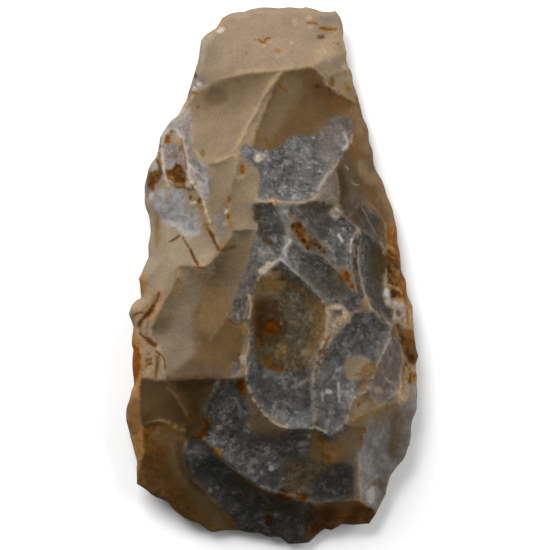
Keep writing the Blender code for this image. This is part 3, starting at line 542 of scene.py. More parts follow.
    ("skin", 1.0, 0.7, ((-26.5, -5), (-23.5, -3.4), (-20.4, -2.2), (-19.2, -3.4), (-19.3, -4.8),
      (-21.4, -9), (-21, -11.6), (-19.3, -14.2), (-18.8, -17), (-19.3, -18.9), (-22.6, -18.6),
      (-23, -16), (-24, -12.4), (-25.4, -8.4))),
    ("tawny", 0.6, 1.0, ((-19.4, -4.2), (-19.8, -3.6), (-21.6, -8), (-21.4, -9.4))),
    ("sand", 0.6, 0.8, ((-23.2, -9), (-21.8, -7.6), (-20.9, -9.4), (-21.4, -11.2), (-22.8, -10.6))),
    ("tawny", 1.0, 0.6, ((-27, -8.5), (-24.6, -9.5), (-23.7, -12.6), (-23.1, -18.6), (-23.4, -23),
      (-22.9, -27), (-22.9, -33), (-24.3, -35.4), (-28, -35), (-28, -9))),
    ("ochre", 0.5, 0.6, ((-26, -9.4), (-24.6, -9.8), (-23.9, -13), (-26, -13.4))),
    ("rust", 1.0, 0.5, ((-25.8, -13.4), (-24, -13), (-23.6, -16), (-24.2, -19), (-26, -20))),
    ("tawny", 0.8, 0.8, ((-24.6, -18.8), (-23.2, -18.8), (-23.5, -22), (-24.8, -22))),
    ("brown", 0.7, 1.0, ((-26.6, -22.6), (-23.6, -22.4), (-22.9, -26), (-24.4, -28.6), (-26.6, -27))),
    ("orange", 0.3, 0.8, ((-24.2, -26.6), (-23.1, -26.4), (-23, -33), (-24.2, -34))),
    # The wide end.
    ("earth", 1.0, 0.9, ((-23.2, -18.7), (-19, -18.8), (-8.6, -18.6), (-11.6, -24), (-11.2, -27),
      (-12.6, -28.8), (-15, -29.6), (-17, -27.4), (-20.2, -26), (-23, -27), (-23.5, -23))),
    ("dark brown", 0.9, 2.0, ((-16.4, -19), (-9, -18.6), (-11, -22), (-12.2, -24.6), (-14.4, -24))),
    ("umber", 0.4, 2.0, ((-22.6, -18.8), (-20, -18.8), (-18.6, -22), (-22.8, -24.6))),
    ("honey", 1.0, 0.8, ((-22.9, -27), (-20.2, -26), (-17, -27.4), (-15.4, -29.3), (-15.8, -33),
      (-14.7, -35.7), (-12, -38.5), (-9.2, -41.7), (-6.6, -44.2), (-6, -46), (-6, -50), (-28, -46),
      (-28, -38), (-24.3, -35.4), (-22.8, -32))),
    ("earth", 0.45, 3.0, ((-22.6, -33), (-17, -33), (-12, -41), (-8, -46), (-22, -42))),
    ("straw", 0.7, 2.0, ((-20.6, -26.8), (-17.4, -27), (-15.6, -29), (-19, -30.4), (-21.6, -29))),
    ("olive", 0.8, 3.0, ((-18.4, -29.6), (-15.4, -29.4), (-15.8, -33), (-14.4, -36), (-8, -43),
      (-8, -46), (-12, -44.6), (-15.6, -39), (-18, -34))),
    ("honey", 0.5, 3.0, ((-20, -37.4), (-16, -38), (-11, -45), (-16, -43))),
    ("earth", 0.7, 1.2, ((-17, -30), (-15.8, -29.6), (-15.8, -33), (-14.6, -35.8), (-11.6, -38.8),
      (-12.6, -39), (-15.8, -36), (-17, -32.6))),
    ("pale slate", 0.9, 1.4, ((-15, -30), (-12, -30.2), (-11.4, -32.4), (-14, -32.8), (-15.4, -31.6))),
    ("slate", 0.4, 1.6, ((-13.4, -36.2), (-11, -36.6), (-7.6, -39.6), (-4.8, -42.4), (-7, -43),
      (-10, -40.4))),
    ("dark brown", 0.5, 2.5, ((-5.4, -36.6), (0, -39.4), (6, -41.2), (2, -42.6), (-4, -40.6))),
    ("olive", 0.3, 2.0, ((2.6, -33.6), (8, -33.6), (7, -36.4), (3, -36.6))),
    ("black slate", 0.7, 3.0, ((-6, -40), (-1.6, -40.4), (-1, -46), (-5.6, -45.6))),
    ("straw", 0.4, 2.0, ((5, -41.4), (9.4, -41.2), (7.6, -43.4), (5.4, -43.6))),
    ("straw", 1.0, 2.5, ((6.6, -28.6), (9, -29.6), (11, -29.4), (14, -27.4), (16.4, -27.6), (15.6, -31),
      (14, -33.4), (10.6, -34.6), (6.6, -33.6), (6.4, -30))),
    ("fawn", 0.8, 2.0, ((11.6, -28.6), (15.4, -27.8), (15.8, -32), (14.6, -40), (13.6, -40),
      (13.6, -33))),
    ("tawny", 1.0, 1.6, ((7.2, -28), (9, -29.4), (11, -30), (12.4, -31.4), (11.4, -33), (9.4, -31.6))),
    ("moss", 0.9, 2.4, ((2.6, -33), (6, -33.2), (9, -33.4), (10.6, -35), (7, -37.6), (6, -39.8),
      (2.4, -39))),
    ("brown", 0.9, 1.6, ((12.6, -44.6), (13.4, -41.6), (16, -41), (18.6, -42), (18.2, -45.2))),
    ("smoke", 0.7, 1.6, ((9.4, -34.4), (14.2, -34.2), (14.6, -39.4), (9.4, -39.2))),
    ("black slate", 0.8, 2.0, ((8.4, -36.2), (12.6, -34.2), (13.4, -37), (12, -39.8), (8, -40))),
    ("tan", 0.9, 1.0, ((14.8, -33), (15.5, -32), (15.8, -40), (14.6, -40), (14.8, -36.6))),
    ("olive", 0.9, 1.4, ((-5, -22.4), (-3.6, -21.8), (-1.8, -24), (1.4, -26.8), (3, -28.2), (0, -28.8),
      (-3, -28), (-5, -26.6), (-3.8, -25))),
    ("drab", 0.5, 2.0, ((-3, -28), (3, -28), (6, -28.4), (3, -30), (-2, -29.6))),
    ("pale slate", 0.3, 1.8, ((-10.8, -24), (-9.4, -22), (-6, -21), (-7, -24), (-9.6, -28),
      (-11, -27))),
    ("pale slate", 0.4, 2.0, ((-11, -29), (-8, -28.6), (-6, -31), (-3, -32), (2, -30.4), (6.6, -28.8),
      (6.4, -31.4), (2, -34.4), (-3, -34.6), (-8, -33.4))),
    ("honey", 1.0, 2.4, ((8.4, -44), (10, -41.4), (15.6, -40.5), (18.4, -42), (19, -46), (8.5, -50),
      (6, -45.6))),
    ("brown", 0.6, 1.6, ((10, -41), (15, -40.8), (16.6, -42), (12, -42.6))),
    ("bistre", 0.7, 2.4, ((6.6, -42), (10.6, -41.2), (11.6, -43.6), (9.4, -46.4), (6.6, -46.4))),
    ("bistre", 0.5, 1.6, ((13.6, -43), (16.4, -41), (18.4, -42.2), (18, -45.4), (13, -45.2))),
    ("glass", 1.0, 0.8, ((16.6, -27.3), (19, -24), (21, -22.6), (23.6, -22.3), (27, -22), (27, -32),
      (23, -40), (20, -45), (18.2, -42), (15.7, -40.4), (15.3, -33))),
    ("milk", 0.35, 1.8, ((15.6, -31), (17.4, -31.5), (18, -35.4), (16, -38.6), (15.4, -35))),
    ("olive", 0.6, 1.6, ((18.6, -24.6), (21.6, -22.8), (22.6, -24.6), (19.6, -27), (18, -28))),
    ("drab", 0.7, 2.0, ((21.6, -25), (23.4, -25), (22.6, -32), (20.8, -31.6))),
    ("mauve", 0.5, 1.4, ((23.4, -23.5), (27, -24), (24, -36), (21, -38), (22.4, -33.6), (23.8, -29))),
    ("umber", 0.45, 0.8, ((17.2, -38), (18.8, -36.2), (20.6, -37.6), (20, -38.8), (18.6, -37.8))),
    ("milk", 0.9, 1.0, ((16.6, -39), (18, -38), (18.6, -39.6), (17.8, -41))),
    ("straw", 0.9, 1.4, ((13.8, -24.4), (15.2, -21.4), (18.4, -22.4), (20.6, -22.8), (17.4, -25.6),
      (16.4, -27.6), (13.8, -27))),
    ("tan", 0.9, 1.2, ((15, -23), (17.8, -22.8), (16, -25), (14.6, -25.4))),
    # The slate hollows at the right, and what is dark round them.
    ("mauve", 0.9, 0.8, ((17.4, -19.4), (19, -16.4), (21.6, -11.6), (23, -12.8), (23.3, -20),
      (20.4, -22.8), (19.4, -23.2), (17.4, -21.6))),
    ("drab", 0.8, 1.2, ((14, 10), (16, 13), (19.8, 9), (19.8, 6.6), (18.6, 6.4), (15.6, 8.3))),
    ("smoke", 0.7, 1.2, ((12.6, 13.4), (16, 13.4), (19.8, 9), (19.8, 6.6), (15.6, 8.3), (13.4, 9.8))),
    ("dark brown", 0.4, 1.4, ((12.6, 13.4), (14.8, 13.4), (16.4, 11), (14.4, 8.8), (13.2, 10.4))),
    ("smoke", 0.4, 2.0, ((11.4, 21.4), (13, 22), (16.4, 17), (16.4, 13), (12.8, 12.6), (12.6, 17))),
    ("brown", 0.6, 1.0, ((18.8, 9.4), (20.4, 9.8), (20.4, 5), (19.6, 5.4))),
    ("smoke", 0.9, 1.8, ((16.6, 5.2), (19.8, 5), (20.2, -2.6), (18, -2.6), (17, 1))),
    ("dark brown", 0.5, 2.0, ((17, 4.8), (19.8, 4.8), (20.1, -1.8), (18.6, -2), (17.4, 1))),
    ("deep rust", 0.25, 1.0, ((19.2, 4.2), (20.3, 3.8), (20.2, -0.6), (19.4, -0.6))),
    ("smoke", 0.9, 1.4, ((16.2, -2), (19.9, -2.4), (21.6, -5.4), (21.2, -8.6), (18.4, -7.4),
      (16.8, -5))),
    ("umber", 0.5, 1.6, ((5, 12.2), (9, 12.8), (11, 11.6), (9, 10.4), (6, 11))),
    ("smoke", 0.7, 1.6, ((5.2, 12), (9, 12.4), (11.4, 10.4), (12.4, 8), (10.2, 6.2), (8.6, 6.6),
      (6.6, 9.4))),
    ("slate", 0.6, 2.0, ((10, 8.4), (14.6, 7.8), (14, 3), (12, 2), (10.4, 5))),
    ("slate", 0.7, 1.6, ((2.4, 6), (5, 5), (7.4, 3.6), (4.6, 1.8), (1.4, 2.8))),
    ("dark brown", 0.6, 1.0, ((-3.1, 12), (-2.3, 12), (-1.2, 8), (0, 5.6), (-1.4, 5.8), (-2.6, 8.6))),
    ("pale slate", 0.9, 1.6, ((1, 12.8), (3.4, 12.2), (4.4, 10), (3.2, 6), (2, 4.6), (1.8, 8))),
    ("pale slate", 0.8, 1.4, ((-2.6, 6.6), (0.6, 3.4), (0.4, 2), (-2.6, 2), (-3.4, 3))),
    ("sand", 0.45, 1.4, ((2.8, 9.8), (4, 10.4), (6.4, 9.2), (7.4, 6.6), (10, 5.4), (10.6, 3.8),
      (8, 3.4), (6, 3.6), (4, 5.4), (3.2, 7.6))),
    ("rusty", 0.55, 0.5, ((3.5, 8.6), (4, 9.4), (5.3, 9.2), (5.9, 8.2), (6, 7.2), (6.8, 6.5),
      (8.4, 5.8), (9.2, 4.9), (9.9, 3.9), (9.4, 3.7), (8.4, 4.6), (7.4, 4.7), (6.5, 4.2), (5.6, 5.3),
      (4.6, 6.6), (4, 7.6))),
    ("rust", 0.25, 0.8, ((3.8, 8.8), (5.4, 8.8), (6.2, 6.8), (6.4, 4.8), (5, 6.4), (4.2, 7.8))),
    ("dark slate", 0.8, 2.0, ((4.6, 3), (8.6, 2), (11.6, -1), (13, -3.6), (9.8, -3.8), (6.4, -0.6))),
    ("smoke", 0.8, 2.0, ((5, 2.8), (8.6, 2), (11.6, -1), (13, -3.6), (9.8, -3.8), (6.4, -0.6))),
    ("fawn", 0.7, 1.4, ((10.8, 1.8), (13.4, 1.4), (14.8, -1), (14.8, -3), (12.6, -2.2), (11, -0.6))),
    ("brown", 0.8, 0.6, ((12, 1.1), (13, 0.9), (13.8, 0.2), (14.2, -1), (13.5, -1.3), (12.8, -0.5),
      (12.2, -0.4), (11.9, 0.4))),
    # The great oval.
    ("moss", 1.0, 1.0, ((-2.6, -0.8), (0.6, 1.2), (4.6, -1.4), (8.8, -5), (9.4, -8), (8.6, -12.5),
      (6.6, -16), (2, -17.4), (-2.4, -16), (-3.6, -11), (-3.2, -5))),
    ("gold", 0.6, 1.4, ((4.6, -1.8), (8.6, -5), (9.6, -8), (8.8, -12.4), (6.6, -16), (5.4, -14.6),
      (7, -11), (7.4, -8), (6, -4.6))),
    ("straw", 0.6, 1.4, ((-3, -2), (-0.6, 0), (2.4, -1.6), (1, -3.6), (-1.6, -4.4), (-2.6, -10),
      (-3.9, -10), (-3.6, -5))),
    ("slate", 0.35, 2.4, ((2, -3), (5, -3.5), (6.4, -8), (5.5, -13), (2.6, -12.4), (2.4, -8))),
    ("dark brown", 0.6, 1.6, ((-1.4, -4), (1, -5), (2.4, -8), (2, -11.6), (-1, -12.4), (-3, -11),
      (-2.8, -7))),
    ("bistre", 0.6, 2.6, ((-2.8, -4.6), (-1.6, -5), (0.4, -6.6), (-1.4, -8.6), (-1, -11.6),
      (-2.6, -12.4), (-3.3, -8))),
    ("amber", 0.2, 2.4, ((-2.2, -1.6), (-0.6, -0.8), (0.8, -2), (-0.4, -3.4), (-2, -3.4))),
    ("sienna", 0.8, 1.0, ((8.2, -4.2), (9.9, -5.8), (9.9, -9), (9.3, -12), (8.4, -12.4), (8.9, -8.4))),
    # The slate below the great oval and right of it.
    ("pale slate", 0.4, 0.8, ((-4.2, -11), (-3.3, -11), (-2.9, -17), (-4.2, -17.4))),
    ("slate", 0.7, 2.4, ((-3.4, -17.4), (5.5, -18.4), (6.4, -26), (2, -26.4), (-3, -22))),
    ("pale slate", 0.6, 2.0, ((-1.6, -16.8), (2.4, -17.4), (1.4, -19), (-1.8, -18.6))),
    ("blue slate", 0.7, 1.2, ((2, -25.6), (6.6, -23.6), (7.4, -20), (7.4, -27), (3, -27))),
    ("slate", 0.9, 3.0, ((9.6, -13), (13, -9.4), (21, -10), (19, -16), (14, -22), (12.6, -27.4),
      (8.4, -27), (8, -18))),
    ("pale slate", 0.8, 1.8, ((8.6, -16.6), (12, -15), (12.6, -19), (12.4, -22.6), (8.4, -23.6))),
    ("pale slate", 0.8, 2.4, ((8.4, -20), (12.4, -20), (14, -23), (12.8, -27), (9.4, -27))),
    ("beige", 1.0, 0.9, ((12.8, -16), (13.4, -14.8), (15, -14.2), (16.8, -14.6), (17.8, -15.6),
      (18.4, -17), (16.4, -18.4), (14.4, -19), (13, -17.8))),
    ("straw", 0.5, 1.0, ((16.2, -21.2), (17.8, -21.4), (17.6, -22.8), (16, -22.6))),
    ("brown", 0.5, 1.2, ((16.4, -16), (18.8, -15.6), (19.2, -17.4), (17.4, -19.4), (16.8, -21.6),
      (15.4, -21.4), (15.6, -18.6))),
    # The right edge, from the middle down.
    ("crust", 0.9, 0.7, ((9.9, -5.6), (11.2, -4.8), (13.6, -6.2), (13.9, -8), (12, -9.6), (10.4, -11.8),
      (9.4, -13.4), (8.6, -15.4), (9.3, -12), (9.9, -9))),
    ("olive", 0.8, 0.8, ((15.6, -6.6), (16.4, -4.4), (17.4, -3.8), (17.8, -5.2), (17, -6.6))),
    ("crust", 1.0, 0.8, ((21.6, -5), (23.4, -4.6), (25.8, -5), (26.4, -10), (23, -10.4), (21.6, -9),
      (22, -7))),
    ("chalk", 0.9, 0.6, ((20, -2.4), (20.7, -2.6), (21.2, -4.4), (22.4, -5), (23.6, -5.4), (22.8, -6.2),
      (20.8, -5.8), (20, -4.4))),
    ("umber", 0.8, 0.8, ((21.4, -8.8), (23, -8.8), (23.4, -10.8), (22.2, -11.6), (21.4, -10.6))),
    ("ochre", 0.5, 0.8, ((23.6, -3.8), (26, -5), (26.6, -10), (24.4, -9.6), (23.8, -6.6))),
    ("cream", 0.5, 0.8, ((24.6, -6.6), (25.6, -7), (25.4, -9.4), (24.4, -9.2))),
    ("brown", 1.0, 0.7, ((22.7, -10.4), (24.8, -9.8), (26.6, -11.6), (26.8, -15.8), (24.8, -15.8),
      (23.7, -13.6))),
    ("amber", 0.6, 0.8, ((23.6, -10.2), (26, -10), (26.4, -12), (24, -12.4))),
    ("deep rust", 0.5, 1.2, ((23.4, -11.6), (25, -11), (26.4, -12.4), (26.4, -15.4), (24.6, -15.2))),
    ("crust", 1.0, 0.9, ((23.4, -13.6), (24.6, -16.2), (27, -16), (27, -19.4), (24.2, -23), (22, -22.6),
      (23.2, -17))),
    ("ash", 0.4, 1.0, ((24.2, -19.6), (26.6, -20), (26.4, -23.4), (24.2, -23.6))),
)

# Spots, by their finish and in the order they are laid. Each has its strength, its place, half its
# width, half its height and, where it isn't flush, the depth of its pit.
SPOTS = (
    ("skin", ((0.5, -0.4, 0.3, 0.9, 0.5), (0.5, -3.4, -24.4, 0.6, 0.8))),
    ("tawny", ((0.6, -1, -1, 0.8, 0.7), (0.4, 0.1, -1, 0.8, 0.5), (0.4, -16.8, -2.6, 0.4, 1.2),
      (0.5, 6.9, -7.6, 0.35, 0.8), (0.7, 16.6, -5, 0.6, 0.7))),
    ("ochre", ((0.6, 8.8, -29.4, 0.45, 0.35, 0.05), (0.6, 13.6, 33.6, 0.6, 0.9),
      (0.5, 12.4, 31.5, 1.2, 0.7), (0.8, -5.1, -9.8, 0.7, 0.5), (0.9, -9.8, -31.4, 0.7, 0.6, 0.05),
      (0.5, 6.8, -45.3, 0.3, 0.6), (0.8, 2.2, -13.2, 0.6, 0.7), (0.8, 1, -14.2, 0.6, 0.6))),
    ("dark brown", ((0.35, 22.3, -9.6, 0.5, 0.6, 0.05), (0.3, 8.2, 33.7, 1.2, 1),
      (1, -19.9, 23.1, 0.35, 0.5, 0.1), (0.6, -21.4, 17.4, 0.5, 0.4, 0.2), (0.4, 0.2, -9.6, 2.3, 1.8))),
    ("milk", ((0.8, -9.3, 43.9, 0.8, 0.6), (0.5, 13.3, 37.4, 0.8, 0.6), (0.15, 3.8, 23.6, 0.9, 0.5),
      (0.25, -12, 16, 0.7, 1.2), (0.9, -21.5, 14.1, 0.45, 0.8), (0.15, -14.6, 24, 0.5, 0.7),
      (1, -7.9, 11.3, 0.5, 0.4, -0.05), (0.45, -6, -7.3, 0.3, 0.7), (0.15, -5.8, -3.4, 0.5, 0.5),
      (0.5, -2.7, 8.6, 0.3, 0.8), (0.45, -3.2, -33.2, 0.7, 0.5), (0.9, -0.1, -34.5, 0.6, 0.55),
      (0.15, -5, -35, 0.7, 0.35), (0.5, -11, -38.3, 0.3, 0.45), (0.45, -9.8, -38, 0.4, 0.4),
      (0.15, -6.6, -41.2, 1, 0.6), (0.55, 5.6, -30, 1.1, 0.6), (1, 10.2, -20.8, 0.7, 0.55),
      (0.25, 13.5, -21.9, 0.6, 0.5), (0.7, 9, -21.6, 0.45, 0.8), (0.35, 12, -17, 0.7, 0.4),
      (0.5, 11.8, -27.4, 0.5, 0.35), (0.4, 10.6, -24.4, 0.5, 0.5), (0.15, 21.8, -19.8, 0.5, 0.6),
      (0.12, 21, -15.4, 0.5, 0.8), (0.12, -0.2, -19.2, 0.9, 0.6), (0.12, 4.4, -23.6, 0.8, 0.6),
      (0.6, 11, -8.9, 0.5, 0.4), (0.12, 8.5, 9.8, 0.7, 0.35), (0.12, 6.4, 1.4, 0.6, 0.6))),
    ("orange", ((0.8, -8.9, 45.5, 0.5, 0.5, 0.05), (0.8, -9.9, 44.5, 0.45, 0.5, 0.05),
      (0.3, -5.8, 24.6, 0.6, 0.6), (0.5, -17.2, -26.9, 0.4, 0.3), (0.5, 14.5, -25.8, 0.4, 0.3),
      (0.6, 18.4, -24.2, 0.5, 0.4), (0.6, 21.7, 8.4, 0.6, 0.9))),
    ("milk", ((0.25, -11.6, 42.4, 1.1, 1.4), (0.3, -12.4, 40, 0.7, 1.8))),
    ("drab", ((0.8, 8.8, 42.6, 0.6, 0.4, 0.05),)),
    ("lavender", ((0.4, 9.9, 46.1, 1.2, 1), (0.8, -13, 34.6, 1.2, 1.4, -0.05),
      (0.5, -13.1, -12.1, 0.35, 0.25))),
    ("cream", ((0.6, 6.6, 46, 0.7, 0.5), (0.6, 7, 44.1, 0.35, 0.3), (0.5, 4.1, 45.4, 0.4, 0.7),
      (0.4, 3.6, 41.6, 0.35, 0.35), (0.4, 1, 39, 0.3, 0.3), (0.35, 4.2, 39.7, 0.25, 0.25),
      (0.6, -1.6, 41, 0.35, 0.3), (0.5, -0.2, 41.7, 0.3, 0.3), (0.5, -8.1, 9.3, 0.5, 0.6),
      (0.8, -12, 0.6, 1, 0.35), (0.95, -1.4, 0.5, 1.2, 0.9, -0.05), (0.35, -4.2, -26.8, 0.6, 0.45),
      (0.8, 6.7, -28.6, 0.5, 0.4), (0.6, 15.4, 7.6, 0.3, 0.7), (0.4, -24.2, -6, 0.8, 0.5),
      (0.8, 0.3, 12.9, 1.2, 0.6, -0.05))),
    ("rust", ((0.25, 1, 40, 0.8, 0.4), (0.9, -18.7, 24.2, 0.5, 0.8, 0.15),
      (0.6, -16.3, 22.6, 0.35, 0.6), (0.95, -5.2, 18.8, 0.5, 0.75, 0.1), (0.8, -9.9, -31.5, 0.4, 0.35),
      (0.8, 15.9, -41.2, 0.5, 0.35), (0.7, 15.4, -23.1, 0.3, 0.5), (0.5, 6.1, -18.4, 0.3, 0.35, 0.05),
      (0.7, 7.4, -16.8, 0.3, 0.45), (0.95, 16.5, -27.7, 0.3, 0.5))),
    ("brown", ((0.5, -4.5, 39.5, 0.25, 0.25, 0.05), (0.5, 11.8, 41.4, 0.25, 0.2, 0.05),
      (0.9, 10.7, 34.5, 0.6, 0.9, 0.05), (0.5, 18.7, -17.4, 0.4, 0.6), (0.7, 16.2, -5.6, 0.5, 0.6))),
    ("milk", ((0.9, -12.9, 34, 0.55, 0.5, -0.05), (0.9, -13.7, 33.3, 0.5, 0.35),
      (0.6, -1.1, 0.4, 0.7, 0.5))),
    ("deep rust", ((0.8, -13.7, 35.8, 0.3, 0.5, 0.1), (0.6, -21, 16.6, 0.5, 0.5, 0.1),
      (0.85, -14.6, -25.2, 0.5, 0.45, 0.05), (0.8, -11.9, -25.6, 0.4, 0.6), (0.9, -0.5, -43.6, 0.8, 1),
      (0.9, 5.5, -39.8, 1, 0.7, 0.1), (1, -0.2, -9.4, 1.65, 1.25, 0.2), (0.9, 4.4, 8.6, 0.8, 0.5, 0.1),
      (0.6, 13.4, 0.1, 0.4, 0.5, 0.1))),
    ("rust", ((0.9, -13.6, 32.5, 0.35, 0.3, 0.1), (0.4, 5.3, -40, 0.4, 0.3), (0.5, 0, -8.9, 0.9, 0.6),
      (0.4, 0.6, -9.8, 0.5, 0.4), (0.8, -2.4, -11.8, 0.35, 0.8))),
    ("drab", ((0.4, -10, 32, 2, 1.5), (0.4, -17.8, 21.4, 0.9, 0.5))),
    ("earth", ((0.5, -13.3, 30.1, 0.35, 0.35),)),
    ("umber", ((0.6, -12.4, 21.7, 0.6, 0.6), (0.25, -19.9, -8.6, 1.4, 1.6))),
    # The spot at (-14.5, 13.8) is painted shadow beside pale crumbs; the rest are cracks and pits.
    ("crack and shadow", ((1, 8.1, 33.6, 0.4, 0.4, 0.15), (0.8, -14.5, 13.8, 0.35, 0.3, 0.15),
      (0.6, -16.5, -27.4, 0.25, 0.2, 0.1), (0.7, 9.4, -13.8, 0.45, 0.5, 0.1),
      (0.7, -21.6, -15.2, 0.2, 0.2, 0.15), (0.9, -21.7, -16.1, 0.35, 0.25, 0.2),
      (1, -0.1, 12.6, 0.4, 0.3, 0.2), (0.9, 0.6, 13.2, 0.2, 0.2, 0.1), (0.9, 1, 12.7, 0.3, 0.2, 0.15),
      (0.8, -0.8, 13.2, 0.3, 0.15, 0.1))),
    ("dark brown", ((0.2, 8, 32.4, 0.8, 0.5), (0.8, -1.2, -42, 0.5, 0.5))),
    ("ash", ((0.5, -4.6, 22.1, 1.1, 1), (0.6, -12.3, 15, 0.6, 0.9), (0.15, -0.8, 17, 1, 1.2),
      (0.15, 5.2, 17.4, 1.2, 0.9), (0.15, 11.4, 21.4, 0.9, 0.9), (0.3, -11, 17.6, 0.5, 0.4),
      (0.5, 1.7, -8.4, 0.3, 0.7), (0.15, 16.6, 5, 0.3, 0.6))),
    ("milk", ((0.2, -4.5, 22.3, 0.35, 0.7),)),
    # The last chalk spot, at (-19.4, -18), is a painted glint.
    ("chalk", ((1, -2.2, 21, 1.1, 0.9, -0.05), (0.95, -5.1, -15, 0.6, 1),
      (0.7, -9.4, -27.2, 0.6, 0.6, -0.1), (0.7, -0.6, -31.8, 0.5, 0.35), (1, 11.4, 11, 1.2, 1.1, -0.05),
      (0.6, 12.3, -10.2, 0.5, 0.4), (0.5, 10.6, -11.4, 0.3, 0.9), (0.5, -19.4, -18, 0.25, 0.4, -0.1))),
    ("sienna", ((0.8, -18, 25.4, 0.4, 0.8), (0.8, -9.4, -27.2, 0.3, 0.25, 0.1),
      (0.6, -9, -32.5, 0.4, 0.7), (0.5, 1, -1.9, 0.9, 0.9), (0.7, 24.6, -16.8, 0.5, 0.5),
      (0.8, -22, -14.2, 0.3, 0.3, 0.15), (0.8, -22.3, -15.3, 0.3, 0.3, 0.1),
      (0.6, -22, -15.7, 0.6, 0.7, 0.1), (0.6, -22.5, -16.5, 0.35, 0.3, 0.1))),
    ("tan", ((0.8, -17.4, 24.6, 0.7, 0.8), (0.4, -20.3, -28.2, 0.5, 0.5, -0.05),
      (0.8, 19, -20.6, 0.8, 0.7), (0.5, 10.9, 2.8, 0.6, 0.45, 0.1), (0.15, 15.6, 26.4, 0.7, 0.9),
      (0.6, 20.2, 4.2, 0.4, 0.7, -0.1))),
    ("bistre", ((0.9, -17.4, 18, 0.3, 0.25, 0.15), (0.8, -16.3, 18.5, 0.25, 0.2, 0.15),
      (0.8, -18.2, 18.4, 0.3, 0.2, 0.15), (0.9, -16.9, 17.1, 0.6, 0.22, 0.2),
      (0.9, -0.6, -44, 0.6, 0.9), (0.95, 1.9, -39.1, 0.9, 0.7, 0.1), (0.6, -2.2, -9.4, 0.5, 2.2),
      (0.9, 4.1, 8.8, 0.5, 0.3, 0.2), (0.9, 5.1, 8.7, 0.3, 0.25, 0.2), (0.9, 7, 5.8, 0.35, 0.2, 0.2),
      (0.9, 7.8, 5.3, 0.35, 0.2, 0.2), (0.9, 8.6, 4.9, 0.3, 0.25, 0.2),
      (0.8, 9.4, 4.1, 0.3, 0.25, 0.15), (0.7, 3.4, 11, 0.35, 0.7, 0.1),
      (0.8, 24.9, -14.9, 0.6, 0.7, 0.3), (0.9, 23.3, -11.6, 0.4, 1, 0.2),
      (0.95, 21.8, -3.4, 0.6, 0.7, 0.3), (0.6, 22.2, 1.6, 0.5, 0.4, 0.15))),
    ("tawny", ((0.6, -17.8, 17.4, 0.3, 0.2), (0.6, -16.8, 24, 0.5, 0.8))),
    ("dark brown", ((0.7, -16, 17, 0.3, 0.35, 0.1), (1, -16.7, 17.7, 0.4, 0.3, 0.2))),
    ("straw", ((0.7, -16.9, 16.1, 1.1, 0.45), (0.6, -6.9, 5.4, 1, 0.5), (0.5, 1.6, -12.6, 0.6, 0.5),
      (0.3, 4, -8.6, 1, 0.6), (0.3, 3.4, -4.4, 0.5, 0.7))),
    # The second spot is painted shadow round the raised nodule laid just after it; the first is a
    # crack.
    ("crack and shadow", ((1, -15.5, 15.7, 0.4, 0.3, 0.15), (0.8, -14.5, 16, 0.95, 0.9, 0.15),
      (0.7, -5.9, -14.2, 0.25, 0.4, 0.1), (0.7, 24, -15.9, 0.3, 0.5, 0.15))),
    ("skin", ((1, -14.8, 16.1, 0.75, 0.7, -0.2), (0.6, -15.8, -27.6, 0.5, 0.35),
      (0.6, 21.2, 4.6, 0.5, 0.45))),
    ("ash", ((0.8, -14.5, 15.7, 0.4, 0.3),)),
    ("tan", ((0.6, -13.6, 14.2, 0.9, 0.6),)),
    # Painted shadow beside the pale crumbs at the left high facet.
    ("crack and shadow", ((0.7, -12.8, 13.2, 0.5, 0.5, 0.1),)),
    ("milk", ((0.8, -14.1, 12.9, 0.7, 0.35, -0.05), (0.2, -7.6, -32.2, 0.8, 0.45))),
    ("honey", ((0.7, -21.2, 18.2, 0.7, 0.3),)),
    ("chalk", ((0.6, -21.4, 19.8, 0.7, 1),)),
    ("cream", ((0.5, -5.8, 17.4, 0.9, 0.3), (1, -0.3, 1.7, 0.75, 0.7), (0.6, -22.3, -17.3, 0.5, 0.4))),
    ("fawn", ((0.5, -5.4, 6, 1, 0.8), (0.6, 16.3, 19, 1, 1.5, -0.05),
      (0.6, 17.8, 17.2, 1.4, 1.2, -0.05))),
    ("orange", ((1, -13, 1.4, 0.6, 0.35, -0.05), (0.5, -20.4, -27.2, 0.3, 0.25),
      (0.5, 12.7, 11.2, 0.3, 0.4), (0.6, 22.9, 0.6, 0.4, 0.6), (0.9, 23.4, 2.6, 0.5, 0.7, -0.1))),
    ("crack and shadow", ((0.3, -0.5, 1.6, 0.2, 0.3, 0.1),)),
    ("black slate", ((0.6, -6.1, -5, 0.5, 1),)),
    ("slate", ((0.8, -6.4, -16.7, 0.9, 1.2), (0.5, -13.1, -14.4, 0.35, 0.3),
      (0.8, 11.7, -6.9, 0.9, 0.5, 0.1))),
    ("deep rust", ((1, -5.6, -19.7, 0.8, 1.1, 0.1), (0.95, 2.7, -39.7, 0.9, 0.45),
      (0.8, 2.1, -0.7, 0.7, 0.3), (1, 25, -15.1, 0.4, 0.5, 0.2))),
    ("rust", ((0.8, -5, -20.8, 0.5, 0.5), (0.8, -4.6, -21.3, 0.35, 0.4), (0.6, 0.6, 0.6, 0.3, 0.4),
      (0.7, 24.6, -10.7, 0.7, 0.4))),
    ("gold", ((0.6, -18.4, -26.2, 0.4, 0.3), (0.7, 21.6, 1.2, 0.3, 0.5, -0.1),
      (0.6, 21.2, 4, 0.7, 0.5, -0.1))),
    ("mauve", ((0.3, 2.5, -46, 1.4, 0.9),)),
    ("ochre", ((0.5, 15.2, -25.4, 0.7, 0.4),)),
    ("skin", ((0.8, 0.3, 0.1, 1.2, 0.7),)),
    ("brick", ((0.9, 4.5, 7.5, 0.4, 0.3, 0.1), (0.9, 5.1, 6.7, 0.4, 0.3, 0.1),
      (0.8, 6.2, 5, 0.35, 0.3, 0.1), (1, 13.4, -0.5, 0.5, 0.7, 0.1), (0.95, 14.2, -2, 0.4, 0.45, 0.1))),
